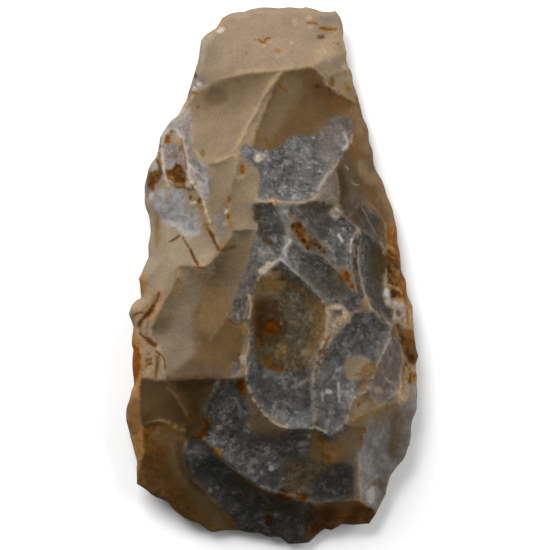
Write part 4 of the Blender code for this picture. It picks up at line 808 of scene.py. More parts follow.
    ("deep rust", ((0.9, 5.8, 5.9, 0.4, 0.3, 0.15), (0.9, 4.9, 7, 0.4, 0.25, 0.2))),
    ("bistre", ((0.8, 4.6, 7.7, 0.3, 0.25, 0.2), (0.9, 5.5, 6.3, 0.25, 0.25, 0.2),
      (0.95, 6.4, 4.7, 0.35, 0.25, 0.2), (0.5, 24.2, -13.8, 0.4, 0.8, 0.2),
      (0.8, 20.9, 0.8, 0.4, 0.9, 0.2))),
    ("deep rust", ((0.9, 5.8, 6, 0.3, 0.35, 0.2),)),
    ("ochre", ((0.6, 6.2, 7, 0.4, 0.7, 0.1), (0.6, 12.5, 0.2, 0.5, 0.5))),
    ("earth", ((0.6, 12.8, 12, 0.35, 0.3),)),
    ("brown", ((0.6, 12.3, -0.9, 0.6, 0.5), (0.6, 24, -10.6, 0.8, 0.6))),
    ("crack and shadow", ((0.6, 12.6, -7.2, 0.3, 0.2, 0.1),)),
    ("cream", ((0.8, 13.1, -7, 0.5, 1.1, -0.05),)),
    ("chalk", ((0.7, 12, -5.6, 0.9, 0.5, -0.05),)),
    ("cream", ((0.6, 11.2, -5.6, 0.6, 0.45),)),
    ("tawny", ((0.6, 24, -17, 0.5, 0.6),)),
    ("amber", ((0.8, 25.4, -18.2, 0.6, 0.9, -0.1), (0.6, 22.8, -3.8, 0.4, 0.5))),
    ("crack and shadow", ((0.8, 24.7, -18.6, 0.25, 0.8, 0.15),)),
    ("honey", ((0.6, 22.2, -0.4, 0.7, 0.8),)),
    ("rust", ((0.6, 22.8, -1, 0.4, 0.7),)),
    ("bistre", ((0.7, 22, -1.8, 0.5, 0.5, 0.15),)),
    ("lavender", ((0.5, -21.5, -18, 0.6, 0.5),)),
)

# Lines in the stone, laid last: finish, strength, width, depth of the groove, and the points it runs
# through. A pit or a groove with a negative depth stands up.
STREAKS = (
    # The narrow end and the waists.
    ("cream", 0.45, 1.1, 0.0, ((-13, 33), (-10, 34.7), (-5, 36.2), (1, 36.7), (7, 37.3))),
    ("cream", 0.4, 1.0, 0.0, ((1.9, 36.4), (0, 34.4), (-1.4, 32), (-2.6, 29.6), (-4.6, 26),
      (-5.6, 23.6), (-6.4, 22.2), (-7.6, 21.2), (-9.8, 20.4))),
    ("cream", 0.35, 0.4, -0.05, ((9.9, 33.9), (12.4, 32.8), (15.2, 31.1))),
    ("rust", 0.9, 0.4, 0.1, ((-2.2, 41.9), (-1.4, 41.5), (-1.1, 42.1), (-0.5, 42.4))),
    ("brown", 0.5, 0.3, 0.05, ((-3, 42.1), (-1.9, 41.9))),
    ("rust", 0.8, 0.45, 0.12, ((8.7, 44.2), (9.8, 43.9), (11.4, 44))),
    ("rust", 0.7, 0.35, 0.1, ((6.4, 45.1), (7.3, 45.1), (8.1, 44.9))),
    ("rust", 0.7, 0.35, 0.05, ((0.9, 34.1), (1.4, 33.7), (1.8, 33.2), (2.6, 33))),
    # The left side above the middle.
    ("cream", 0.7, 0.5, -0.1, ((-16.8, 28.4), (-15.8, 29.6), (-15, 31), (-14.2, 32.2))),
    ("sienna", 0.6, 0.3, 0.1, ((-16.4, 30.1), (-15.4, 30.2))),
    ("sienna", 0.6, 0.3, 0.1, ((-15.5, 31.4), (-14.6, 31.4))),
    ("cream", 0.6, 0.4, 0.0, ((-15.8, 30), (-14.6, 31.2), (-13.2, 33.1), (-11.6, 34))),
    ("cream", 0.6, 0.4, 0.0, ((-8.8, 20.3), (-7.8, 20.9), (-6.6, 21.5))),
    ("chalk", 0.95, 0.65, -0.25, ((-19.8, 23.4), (-19.5, 20.6), (-19.3, 18.8), (-18.9, 17.2),
      (-18.6, 16))),
    ("tawny", 0.5, 0.35, 0.0, ((-18.7, 15.8), (-18.9, 14.2), (-18.8, 12.8))),
    ("milk", 0.8, 0.8, -0.3, ((-17, 25.9), (-16.3, 24.6), (-15.7, 23), (-15.4, 21), (-14.9, 19.4),
      (-14.9, 17.8), (-14.1, 16.4))),
    ("chalk", 0.95, 0.7, -0.25, ((-14.1, 16.4), (-13.3, 15.3), (-12.6, 14.1), (-12, 12.7),
      (-11.7, 11.3), (-11.1, 9.4))),
    ("milk", 0.5, 0.4, -0.05, ((-14.8, 19.6), (-14, 18.9), (-13.1, 18.2))),
    ("milk", 0.5, 0.35, -0.05, ((-13.4, 20.6), (-12.6, 19.9), (-11.8, 19.3))),
    ("dark slate", 0.4, 0.6, 0.05, ((-13.4, 17.8), (-12.6, 17), (-12, 16.6))),
    ("cream", 0.4, 0.5, 0.0, ((-11.9, 12.2), (-11.5, 9.4), (-10.2, 6.7), (-9.3, 4.5))),
    ("sienna", 0.85, 0.9, 0.2, ((-11.6, 8.9), (-11.1, 7.8), (-10.5, 6.8))),
    ("crack and shadow", 0.85, 0.5, 0.2, ((-11, 7.6), (-10.2, 6), (-9.3, 4.5))),
    ("crack and shadow", 0.5, 0.5, 0.05, ((-9.3, 4.3), (-8.3, 4.5), (-7.3, 4.8), (-6.5, 5.1))),
    ("ochre", 0.7, 0.4, 0.0, ((-9.4, 4.7), (-8.6, 5), (-7.9, 5.3))),
    ("crack and shadow", 0.85, 0.35, 0.12, ((-18.2, 5.9), (-17.3, 6.4), (-16.5, 7))),
    ("crack and shadow", 0.7, 0.3, 0.1, ((-15.9, 6.7), (-15.1, 5.3), (-14.5, 4.4))),
    ("crack and shadow", 1.0, 0.45, 0.16, ((-14.5, 4.4), (-14, 3.4), (-13.7, 2.7), (-13.3, 1.9))),
    ("sienna", 0.9, 0.5, 0.1, ((-20.2, 21.8), (-19.9, 20.4), (-19.8, 19))),
    ("dark brown", 0.9, 0.6, 0.15, ((-20.5, 20.5), (-20.1, 19.4), (-19.8, 18.2))),
    ("sienna", 0.9, 0.45, 0.1, ((-16.2, 24.4), (-15.8, 22.6), (-15.4, 20.6), (-15.3, 19))),
    ("tawny", 0.8, 0.4, 0.0, ((-7.6, 14.1), (-7.6, 12), (-7.8, 10), (-7.3, 9.1), (-6.7, 8.2))),
    ("rust", 0.9, 0.45, 0.1, ((-7.6, 13.7), (-7.6, 13))),
    ("rust", 0.9, 0.45, 0.1, ((-7.6, 10.7), (-7.7, 10.1))),
    # The folds and cracks of the left edge.
    ("skin", 0.6, 1.2, -0.15, ((-19.6, -2.8), (-20.1, -4.6), (-21, -6.6), (-21.9, -8))),
    ("tan", 0.5, 1.4, -0.2, ((-21.2, -3.4), (-22.4, -5), (-23.4, -6.1))),
    ("sienna", 0.75, 1.2, 0.3, ((-20.5, -4), (-21.3, -5.6), (-22.2, -7), (-23.1, -8), (-23.7, -9.4))),
    ("crack and shadow", 0.7, 0.35, 0.2, ((-20.1, -3.2), (-20.6, -4.5), (-21.2, -5.7))),
    ("crack and shadow", 0.95, 0.7, 0.3, ((-21.1, -5.6), (-21.9, -6.8), (-22.7, -7.6))),
    ("crack and shadow", 0.6, 0.4, 0.15, ((-22.7, -7.6), (-23.4, -8.4), (-23.7, -9.3))),
    ("bistre", 0.6, 0.5, 0.15, ((-21.6, -6.4), (-22.2, -7.1))),
    ("crack and shadow", 0.8, 0.35, 0.12, ((-24.7, -7.3), (-24, -6.9), (-23.2, -6.8))),
    ("sienna", 0.6, 0.6, 0.1, ((-24.8, -7.4), (-24.9, -8.4))),
    ("sienna", 0.6, 0.35, 0.1, ((-23.1, -6.3), (-22.6, -5.8), (-22.1, -5.4))),
    ("skin", 0.8, 0.9, -0.25, ((-23.6, -7.4), (-24.2, -8.6), (-24.2, -10), (-23.8, -11.2))),
    ("tan", 0.7, 1.0, -0.25, ((-22.5, -8.4), (-22.9, -9.4), (-22.9, -10.4))),
    ("tan", 0.6, 0.8, -0.2, ((-21.6, -8), (-21.8, -9.6), (-21.7, -11.2))),
    ("sienna", 0.6, 0.4, 0.1, ((-22.2, -8.2), (-22.3, -9.4), (-22.4, -10.7))),
    ("sienna", 0.6, 0.5, 0.15, ((-23.4, -8.8), (-23.6, -9.6), (-23.5, -10.5))),
    ("crack and shadow", 0.85, 0.45, 0.2, ((-23.5, -10.6), (-22.9, -11.1), (-22.3, -11.4))),
    ("sienna", 0.9, 0.9, 0.2, ((-22.4, -11.6), (-21.6, -12), (-20.9, -12.5))),
    ("crack and shadow", 0.9, 0.6, 0.2, ((-22.2, -11.7), (-21.5, -12.1), (-20.8, -12.6))),
    ("skin", 0.6, 0.8, -0.15, ((-23.4, -11.6), (-22.8, -13), (-22.4, -14))),
    ("skin", 0.7, 0.6, -0.15, ((-20.2, -12.8), (-20.3, -13.8))),
    ("crack and shadow", 0.8, 0.28, 0.15, ((-20.7, -13.7), (-20, -14.1), (-19.4, -14.8), (-19.1, -15.6),
      (-19.1, -16.6))),
    ("tan", 0.7, 0.6, -0.2, ((-19.9, -14.8), (-19.7, -16), (-19.8, -17.6))),
    ("umber", 0.75, 0.8, 0.2, ((-20.3, -14.7), (-20.5, -16.4), (-20.8, -18.4))),
    ("crack and shadow", 0.5, 0.35, 0.1, ((-20.4, -15.6), (-20.6, -17), (-20.8, -18.3))),
    ("tan", 0.6, 0.6, -0.15, ((-21, -14), (-21.1, -16), (-21.1, -18.2))),
    # Painted glint: a small bright fleck of light on the edge.
    ("chalk", 0.8, 0.35, -0.1, ((-19.2, -17.3), (-19.4, -18.2))),
    # The left of the middle, from there down to the wide end.
    ("tan", 0.4, 0.6, 0.0, ((-8, -7), (-9.4, -9.2), (-11, -11.5))),
    # Painted shadow: a dark line under the ledge along y = -18.6.
    ("dark brown", 0.6, 0.7, 0.1, ((-18.6, -18.5), (-14, -18.7), (-9, -18.5))),
    ("tan", 0.3, 0.6, 0.0, ((-18.6, -20), (-17, -22), (-15, -25))),
    ("cream", 0.8, 0.7, 0.0, ((-4.1, -3.6), (-3.7, -5.4), (-4.1, -7.6))),
    ("cream", 0.35, 0.5, 0.0, ((-4.9, -12.6), (-4.9, -14.4), (-4.4, -16.2))),
    ("ochre", 0.6, 0.5, 0.0, ((-5.4, -16.6), (-4.9, -19), (-4.4, -20.8))),
    ("crack and shadow", 0.5, 0.4, 0.1, ((-4.6, -4), (-4.8, -6.4), (-5.2, -8.4), (-6.4, -8.9), (-7.6, -8))),
    ("deep rust", 0.95, 1.1, -0.05, ((-11.8, -24.9), (-11.6, -26.2), (-12, -27.6), (-12.9, -28.7))),
    # Painted shade: darkens the shadowed valley where the lower hollow's slate meets the dark step.
    ("black slate", 0.95, 1.5, 0.0, ((-9.6, -19.4), (-10.2, -21.2), (-11.2, -23.4), (-11.6, -25))),
    ("earth", 0.6, 0.9, 0.0, ((-22.6, -26.8), (-21, -26.3), (-19.6, -26.2), (-18, -26.8))),
    ("chalk", 0.3, 0.3, -0.1, ((-21.4, -26), (-20.6, -26.2), (-20, -25.9))),
    ("cream", 0.25, 0.35, -0.05, ((-19.8, -26), (-18.8, -26.2), (-18.2, -26.6))),
    ("crack and shadow", 0.7, 0.5, 0.15, ((-21.1, -34.8), (-20.6, -35.4))),
    ("cream", 0.15, 0.5, -0.05, ((-20.6, -26), (-19.4, -26), (-18.4, -26.3))),
    # The rims and marks of the slate hollows.
    ("olive", 0.8, 0.6, 0.0, ((2.9, 11.2), (3.8, 10.2), (4.2, 9))),
    ("ash", 0.3, 0.5, 0.0, ((5, 5.5), (7, 3.8), (9, 3.5), (11, 1.5))),
    ("black slate", 0.8, 0.7, 0.0, ((5.9, 10.8), (6.7, 9.6), (7.4, 8.4))),
    ("milk", 1.0, 1.3, -0.05, ((2.3, 3.6), (2.6, 4.8), (3.2, 5.8))),
    ("milk", 1.0, 0.55, 0.0, ((11.9, 7.2), (12.5, 6.2))),
    ("chalk", 1.0, 0.5, -0.05, ((14.3, 6.3), (14.1, 5.2), (14.1, 4.1))),
    ("cream", 0.75, 0.4, 0.0, ((12.6, 10.6), (13.8, 9.6), (15.2, 8.4), (15.9, 7.3))),
    ("milk", 0.45, 0.3, 0.0, ((15.9, 12.6), (16.8, 10.8), (17.6, 9.2), (18.9, 7))),
    ("milk", 0.3, 0.3, 0.0, ((16.6, 13.1), (18.3, 12), (20, 9.6), (20.3, 8.2))),
    ("milk", 0.2, 0.3, 0.0, ((14.6, 11.6), (15.6, 10.4), (16.4, 8.8))),
    # Painted glints: the next two short bright lines.
    ("milk", 0.5, 0.3, 0.0, ((14.3, 16.7), (14.8, 16.2), (15.4, 16.1))),
    ("milk", 0.6, 0.35, 0.0, ((13.1, 19.6), (13.5, 18.9))),
    ("dark brown", 0.8, 0.7, 0.15, ((15.1, 5.8), (15, 2), (15.2, -0.6), (15.6, -2.8))),
    ("chalk", 0.55, 0.4, -0.1, ((15.2, 8.2), (14.5, 6.6), (14.1, 4.6), (14.2, 1.6), (14.6, -1),
      (15.2, -3.4))),
    ("brown", 0.75, 0.5, 0.0, ((15.2, 0.3), (15.4, -1.4), (15.7, -2.7))),
    ("ash", 0.5, 0.35, -0.05, ((13.8, 5.4), (13.3, 3), (13.6, 1), (14.3, -0.8))),
    ("ash", 0.55, 0.35, 0.0, ((9.8, 5.8), (11, 3.6), (11.4, 1.6))),
    ("ash", 0.35, 0.3, 0.0, ((15.9, 7), (15.8, 4), (16, 0.6), (16.6, -2.4))),
    ("ash", 0.15, 0.4, 0.0, ((17.4, 5.4), (17.2, 2), (17.8, -1.4), (18.6, -3.6))),
    ("chalk", 0.7, 0.7, 0.0, ((8.2, 15.2), (9, 16.6), (9.9, 17.9))),
    ("cream", 0.6, 0.6, 0.0, ((-2, 13.1), (0, 13.1), (3, 12.9), (5.6, 13))),
    ("milk", 0.65, 0.6, 0.0, ((12.8, 25.4), (13.5, 23.6), (12.8, 22.4))),
    ("chalk", 0.9, 0.9, -0.05, ((-2, 0.6), (-1, 1.4), (-0.1, 1.9))),
    ("cream", 0.6, 0.6, -0.05, ((-4.1, -3.9), (-4.4, -5.2), (-4.6, -6.6), (-4.9, -7.6))),
    ("gold", 0.5, 0.8, 0.0, ((4.2, -1.6), (5.8, -3.2), (6.6, -5.4))),
    # Partly the oval's pale worn rim and partly a painted highlight where the rim catches the light.
    ("milk", 0.9, 0.5, -0.05, ((0.2, 2.1), (1.4, 2.7), (3.1, 1.4), (4.5, 0.1), (5.6, -1))),
    ("ash", 0.4, 0.9, 0.0, ((-0.6, 5), (0.6, 3.6), (2.4, 2.4), (4.6, 0.6))),
    ("cream", 0.6, 0.4, 0.0, ((5.5, -0.9), (6.7, -2), (8.4, -3.7), (9.5, -4.9), (9.9, -6), (9.9, -8.6),
      (9.4, -12), (8.2, -15.6))),
    ("milk", 0.45, 0.45, 0.0, ((8, -16), (7.1, -18), (7.1, -21), (7.3, -24), (7.4, -26.8))),
    # The right side.
    ("ash", 0.8, 0.4, -0.15, ((20.4, 0.9), (20.5, -0.6), (20.4, -1.8))),
    ("milk", 0.85, 1.1, -0.2, ((20.5, -2.6), (20.5, -4), (20.9, -5.1))),
    ("chalk", 0.7, 0.9, -0.15, ((21.4, -5.2), (22.4, -5.1), (23.4, -5.2))),
    ("chalk", 0.85, 0.4, -0.05, ((15.4, 5), (15.5, 1.6), (16, -1), (17, -4.4), (18.6, -7.1),
      (19.7, -8.2), (21.6, -9))),
    ("chalk", 0.6, 0.6, -0.05, ((21.3, -9.2), (20.8, -11.4), (20.2, -13.2), (19.4, -14.9),
      (18.6, -16.2))),
    ("cream", 0.8, 0.4, -0.2, ((21, -1.8), (21.8, -2.2), (22.8, -2.6), (23.2, -3.4))),
    ("brown", 0.6, 0.3, 0.12, ((23.7, -4.6), (24.2, -6.4), (24.4, -8.8))),
    ("skin", 0.6, 0.3, -0.12, ((24, -5.6), (23.9, -7.4), (23.9, -9.4))),
    ("crack and shadow", 0.7, 0.3, 0.15, ((22.4, -8.8), (22.9, -9.8), (22.8, -11))),
    ("skin", 0.6, 0.3, -0.1, ((22, -9.4), (22.3, -10.4), (22.9, -11.6))),
    ("bistre", 0.7, 0.35, 0.15, ((20.9, 4.4), (21.4, 3.6), (22.2, 3.4))),
    ("gold", 0.7, 0.3, -0.1, ((20.9, 2.2), (21.8, 1.4), (22.4, 0.2), (22.6, -1.6))),
    ("tawny", 0.7, 0.3, -0.1, ((21, 0.2), (21.6, -0.8), (22.2, -2.2))),
    ("bistre", 0.7, 0.3, 0.12, ((22.2, 2.8), (22.9, 1.4), (23.3, -0.6))),
    ("cream", 0.7, 0.4, -0.1, ((22.8, -4.6), (23.3, -4.5), (23.4, -5))),
    ("ash", 0.8, 0.6, -0.15, ((22.6, -5.8), (23.6, -6), (23.7, -6.9), (23, -7.8), (22, -7.8))),
    ("drab", 0.8, 0.8, 0.2, ((22.5, -6.7), (22.9, -7))),
    ("cream", 0.6, 0.4, -0.05, ((24.6, -6.4), (24.7, -7.6))),
    ("crack and shadow", 0.8, 0.6, 0.2, ((20.6, 3.2), (21.4, 2.6), (22.2, 2), (22.8, 1.4))),
    ("cream", 0.5, 0.4, -0.1, ((20.6, 5), (21.4, 5), (22, 4.6))),
    ("tan", 0.6, 0.35, -0.1, ((20.3, 9.4), (20.4, 7), (20.3, 5.2), (19.8, 4))),
    ("cream", 0.65, 0.45, 0.0, ((16.4, -6.7), (17.2, -6.6), (17.9, -6.2))),
    # The lower right.
    ("milk", 0.6, 0.3, 0.0, ((20.1, -18.2), (21.2, -19.3))),
    ("milk", 0.85, 0.45, 0.0, ((11.9, -19.3), (12, -22.6))),
    ("milk", 0.6, 0.4, 0.0, ((12.4, -16.4), (11.6, -17), (11, -18.4))),
    ("milk", 0.6, 0.35, 0.0, ((13.4, -13.2), (14, -14), (13.3, -14.6))),
    ("milk", 0.5, 0.8, 0.0, ((3.6, -20), (5, -19.4), (6.2, -18.6))),
    ("rust", 0.85, 0.9, 0.1, ((-0.9, -15), (0, -16.4), (1.5, -16.8))),
    ("cream", 0.3, 0.4, 0.0, ((0.6, -13.4), (1.1, -14.8))),
    ("sienna", 0.8, 0.35, 0.05, ((16, -17), (16.8, -16.4), (17.8, -16.2), (18.5, -16.8),
      (18.3, -17.8))),
    ("ochre", 0.7, 0.3, 0.05, ((16.3, -17.6), (17, -17), (17.6, -17.8), (17, -18.6))),
    ("brown", 0.6, 0.3, 0.05, ((14.9, -18), (15.8, -17.6), (16.4, -18.2))),
    ("ochre", 0.8, 0.6, 0.0, ((16.4, -19.4), (16.1, -20.4), (16, -21.2))),
    ("crack and shadow", 0.5, 0.4, 0.05, ((10.5, -10.5), (9.4, -12.8), (8.4, -15), (7.9, -20))),
    ("cream", 0.5, 0.35, -0.15, ((23.1, -16.6), (23, -19.4), (22.9, -21))),
    ("cream", 0.9, 0.9, -0.15, ((22.7, -21), (23, -22.2), (23.6, -22.3))),
    ("crack and shadow", 0.6, 0.3, 0.15, ((23.3, -13), (23.7, -14.8), (23.7, -16.6), (23.4, -18))),
    ("skin", 0.7, 0.3, -0.12, ((23.9, -16.4), (24.3, -17.6), (24.3, -19.4))),
    ("cream", 0.5, 0.4, -0.1, ((22.9, -12), (23.3, -14), (23.7, -15.6))),
    ("sienna", 0.7, 0.35, 0.15, ((23.4, -18.4), (23.5, -20.4))),
    ("sienna", 0.6, 0.35, 0.15, ((24.2, -18.4), (24.6, -19.6))),
    ("cream", 0.35, 0.6, -0.05, ((14, -26), (16.5, -24.7), (20, -23), (23.6, -22.4))),
    ("ochre", 0.65, 0.5, 0.0, ((18.2, -24.9), (20.4, -23.8), (22.4, -23.1))),
    # The wide end.
    ("orange", 0.6, 0.7, 0.0, ((7.4, -27.8), (8.2, -28.6), (9, -29.6))),
    ("rust", 0.85, 0.7, 0.0, ((8.3, -28.9), (8.7, -29.3), (9, -29.6))),
    ("rust", 0.45, 0.9, 0.0, ((8.9, -32), (9.8, -32.6), (10.4, -33.4))),
    ("ochre", 0.8, 0.5, 0.0, ((16.4, -28), (16, -29.4), (15.8, -31))),
    ("cream", 0.8, 0.6, -0.05, ((15.6, -32), (15.6, -36), (15.8, -40.2))),
    ("chalk", 0.7, 0.5, -0.05, ((16, -38.8), (17.4, -37.4), (18.8, -36))),
    ("milk", 0.6, 0.7, 0.0, ((18.1, -38), (17.8, -40.4))),
    ("milk", 0.2, 0.5, 0.0, ((19.2, -27.4), (18.4, -29.4))),
    ("ash", 0.45, 0.4, 0.0, ((-9, -33), (-6.5, -34.8), (-3, -36.9), (1, -38.7), (5, -39.7))),
    ("gold", 0.8, 0.3, 0.0, ((10.7, -34.2), (11, -34.9), (10.8, -35.6))),
    ("gold", 0.7, 0.4, 0.0, ((9.6, -33.6), (10.2, -34.4))),
    ("gold", 0.5, 0.3, 0.0, ((4.4, -34.4), (5.4, -34.9), (6.2, -34.6))),
    ("gold", 0.5, 0.3, 0.0, ((3.4, -36.2), (4.4, -36.8), (4.8, -37.8))),
    ("gold", 0.45, 0.35, 0.0, ((6.6, -36.4), (7.4, -36), (7.8, -36.8))),
    ("crack and shadow", 0.6, 0.8, 0.1, ((-6.8, -35.8), (-3, -38), (1, -39.8))),
    ("gold", 0.6, 0.6, 0.0, ((-13, -29.4), (-11, -31), (-9, -33))),
    ("deep rust", 0.6, 0.5, 0.0, ((8, -45.4), (9.6, -44.2), (11.6, -43.6), (14, -43.4))),
    # Right of the great oval.
    ("brown", 0.6, 0.5, 0.1, ((8.9, -11), (9.8, -12), (9, -14))),
)

FRAY = ((1.3, 0.25), (0.5, 0.18), (0.2, 0.07))   # how borders stray: size of the noise, distance
FRAY_LAYERS = (5.0, 23.0)        # where that noise is read for each of the two directions
STREAK_FRAY = 0.5                # how much of it a streak strays by
SWELL = 0.6                      # how much a streak swells and narrows, as a share of its width
SWELL_LAYER = 3.0
SPOT_REACH = 1.4                 # where a spot ends, in half widths from its middle
SPOT_BORDER = 0.8                # and how wide its soft border is
LINE_STEP = 0.4                  # spacing of the points that a smooth line is drawn with


def line_distance(points, line, closed):
    """How far each point is from the nearest part of a line of straight runs."""
    ends = np.roll(line, -1, axis=0) if closed else line[1:]
    starts = line if closed else line[:-1]
    side = ends - starts
    squared = np.maximum((side ** 2).sum(axis=1), TINY)
    away = points[:, None, :] - starts[None, :, :]
    along = np.clip((away * side).sum(axis=2) / squared, 0.0, 1.0)
    gap = away - along[:, :, None] * side
    return np.sqrt((gap ** 2).sum(axis=2).min(axis=1))


def distance(points, line, closed=True):
    """How far each point is from the line."""
    return in_batches(line_distance, points, line, closed)


def smooth_line(corners, closed):
    """Points along a smooth curve through the corners."""
    corners = np.array(corners, float)
    if closed:
        before, after = np.roll(corners, 1, axis=0), np.roll(corners, -1, axis=0)
        starts, ends, last = corners, after, np.roll(corners, -2, axis=0)
    else:
        ended = np.vstack((2 * corners[0] - corners[1], corners, 2 * corners[-1] - corners[-2]))
        before, starts, ends, last = ended[:-3], ended[1:-2], ended[2:-1], ended[3:]
    points = []
    for a, b, c, d in zip(before, starts, ends, last):
        count = max(1, round(math.dist(b, c) / LINE_STEP))
        for t in np.arange(count) / count:
            points.append(b + 0.5 * t * (c - a + t * (2 * a - 5 * b + 4 * c - d
                                                      + t * (3 * b - a - 3 * c + d))))
    if not closed:
        points.append(corners[-1])
    return np.array(points)


def frayed(points):
    """The points moved a little by noise, so that what is laid by them has ragged borders."""
    moved = points.copy()
    for size, away in FRAY:
        shift = [[noise.noise(Vector((x / size, y / size, layer))) for layer in FRAY_LAYERS]
                 for x, y in points]
        moved += away * np.array(shift)
    return moved


def near(points, line, margin):
    """Which points lie in the box round the line."""
    return ((points > line.min(axis=0) - margin) & (points < line.max(axis=0) + margin)).all(axis=1)


def eased(share):
    """The share held between 0 and 1, setting off and arriving softly."""
    held = np.clip(share, 0.0, 1.0)
    return held * held * (3.0 - 2.0 * held)


def patch_profile(points, border, corners):
    """1 inside the patch and 0 outside it, with a soft border between."""
    loop = smooth_line(corners, True)
    profile = np.zeros(len(points))
    close = near(points, loop, 0.5 * border)
    inwards = side_of(points[close], loop) * distance(points[close], loop)
    profile[close] = eased(0.5 + inwards / border)
    return profile


def spot_profile(points, middle, half_width, half_height):
    """1 at the middle of the spot, falling to 0 round it."""
    away = np.linalg.norm((points - middle) / (half_width, half_height), axis=1)
    return eased((SPOT_REACH - away) / SPOT_BORDER)


def streak_profile(points, width, corners):
    """1 along the middle of the streak, falling to 0 at its sides, which swell and narrow."""
    line = smooth_line(corners, False)
    profile = np.zeros(len(points))
    close = near(points, line, width)
    swell = [1.0 + SWELL * noise.noise(Vector((x, y, SWELL_LAYER))) for x, y in points[close]]
    away = distance(points[close], line, False) / (0.5 * width * np.array(swell))
    profile[close] = np.exp(-away ** 2)
    return profile


def finished(points):
    """The coat at each point, how much the marks there are sunk, and how much shows no mark."""
    at = frayed(points)
    steadier = points + STREAK_FRAY * (at - points)
    coat = np.tile(COATS["fawn"], (len(points), 1))
    sunk = np.zeros(len(points))
    clear = np.ones(len(points))

    def lay(name, cover):
        coat[:] += cover[:, None] * (COATS[name] - coat)

    def mark(name, strength, profile, depth):
        lay(name, strength * profile)
        clear[:] *= 1.0 - strength * profile
        sunk[:] += depth * profile

    for name, strength, border, corners in PATCHES:
        lay(name, strength * patch_profile(at, border, corners))
    for name, spots in SPOTS:
        for strength, x, y, half_width, half_height, *pit in spots:
            profile = spot_profile(at, (x, y), half_width, half_height)
            mark(name, strength, profile, pit[0] if pit else 0.0)
    for name, strength, width, depth, corners in STREAKS:
        mark(name, strength, streak_profile(steadier, width, corners), depth)
    return coat, sunk, clear


# =============================================================================================
# The stone. One solid piece of flint: the struck upper side over the plain underside, meeting in
# the thin edge. The old face has a fine grain, and its cherty and skin parts are rougher.
# =============================================================================================
MM = 0.001                       # a millimetre, in metres
EDGE_STEP = 0.26                 # spacing of the mesh along the edge and the ridges
FIELD_STEP = 0.25                # over the upper side
UNDERSIDE_STEP = 0.6
CLEARANCE = 0.6                  # smallest gap between two mesh points, as a share of the spacing
MEETING = 0.2                    # a rim point this near a later rim, in mm, is still on the ridge
STEEPEST_EDGE = 2.6              # rise over run of the bluntest stretch of the edge
FLATTEST_EDGE = 0.32             # and of the sharpest one
RIPPLES = ((6.5, 0.10), (2.4, 0.05))             # long swells of the upper side: size, height
RIPPLE_LAYER = 9.0               # where their noise is read
BULB = (2.0, 22.0)               # where the blow that struck the flake off landed, on its underside
RING_SPACING = 5.5               # rings round it
RING_HEIGHT = 0.07
RING_FADE = 2.0                  # the rings fade out this near to the edge
RING_RISE = 1.0                  # and where the underside has risen less than this
CHIP_PALE = 0.1                  # how pale the worn rims of the retouch chips are
RIM_WIDTHS = ((0.26, 0.75), (0.9, 0.25))         # how far paleness reaches from a rim, and its share
EDGE_PALE = 0.12                 # how pale the stone's own edge is
EDGE_WIDTH = 0.5
GRAIN_FADE = 1.5                 # the grain fades out this near to the edge
UNDERSIDE_BORDER = 2.5           # how far in from the edge the upper side's colours reach below
UNDERSIDE_CLOUDS = ((15.0, 1.6), (5.0, 0.5))     # darker flint in the underside: size, strength
CLOUD_SHARE = 0.4                # how dark the underside is on the whole
FILLED_IN = 1                    # tells the meshing to keep only what lies inside the border


def spaced(loop, step):
    """A closed line's points set closer together."""
    following = np.roll(loop, -1, axis=0)
    points = []
    for start, end in zip(loop, following):
        count = max(1, round(math.dist(start, end) / step))
        points.extend(start + (end - start) * t for t in np.arange(count) / count)
    return np.array(points)


def thinned(points, weights, gap):
    """The points in order, without any that is closer than the gap to one already taken."""
    taken, kept, cells = [], [], {}
    for point, weight in zip(points, weights):
        column, row = (int(value // gap) for value in point)
        rivals = [other for i in (-1, 0, 1) for j in (-1, 0, 1)
                  for other in cells.get((column + i, row + j), ())]
        if all(math.dist(point, other) > gap for other in rivals):
            cells.setdefault((column, row), []).append(point)
            taken.append(point)
            kept.append(weight)
    return np.array(taken), np.array(kept)


def edge_distance(points):
    """Distance in from the stone's edge, negative outside it."""
    return side_of(points, rim_edge) * distance(points, rim_edge)


def ridge_points():
    """Points along the rims that later blows left standing, and how pale each is."""
    pales = [pale for _, _, _, pale, _ in SCARS] + [CHIP_PALE] * (len(scars) - len(SCARS))
    points, weights = [], []
    for number, ((_, _, loop, _), pale) in enumerate(zip(scars, pales)):
        line = spaced(loop, EDGE_STEP)
        line = line[edge_distance(line) > CLEARANCE * EDGE_STEP]
        for _, _, later, _ in scars[number + 1:]:
            if len(line):
                gone = inside(line, later)
                gone[gone] = distance(line[gone], later) > MEETING
                line = line[~gone]
        points.extend(line)
        weights.extend([pale] * len(line))
    return thinned(points, weights, CLEARANCE * EDGE_STEP)


def field_points(step):
    """A triangular field of points inside the stone, clear of its edge."""
    left, front = rim_edge.min(axis=0)
    right, back = rim_edge.max(axis=0)
    rows = []
    for row, y in enumerate(np.arange(front, back, step * math.sin(math.pi / 3.0))):
        across = np.arange(left + 0.5 * step * (row % 2), right, step)
        rows.append(np.column_stack((across, np.full(len(across), y))))
    field = np.vstack(rows)
    return field[edge_distance(field) > CLEARANCE * step]


def nearest(points, others):
    """The nearest of the others to each point: its number and how far away it is."""
    tree = kdtree.KDTree(len(others))
    for number, (x, y) in enumerate(others):
        tree.insert((x, y, 0.0), number)
    tree.balance()
    found = [tree.find((x, y, 0.0))[1:] for x, y in points]
    return np.array([number for number, _ in found]), np.array([gap for _, gap in found])


def rippled(points, ripples):
    """Smooth noise at each point, the sum of the ripples of each size."""
    total = np.zeros(len(points))
    for size, height in ripples:
        total += [height * noise.noise(Vector((x / size, y / size, RIPPLE_LAYER)))
                  for x, y in points]
    return total


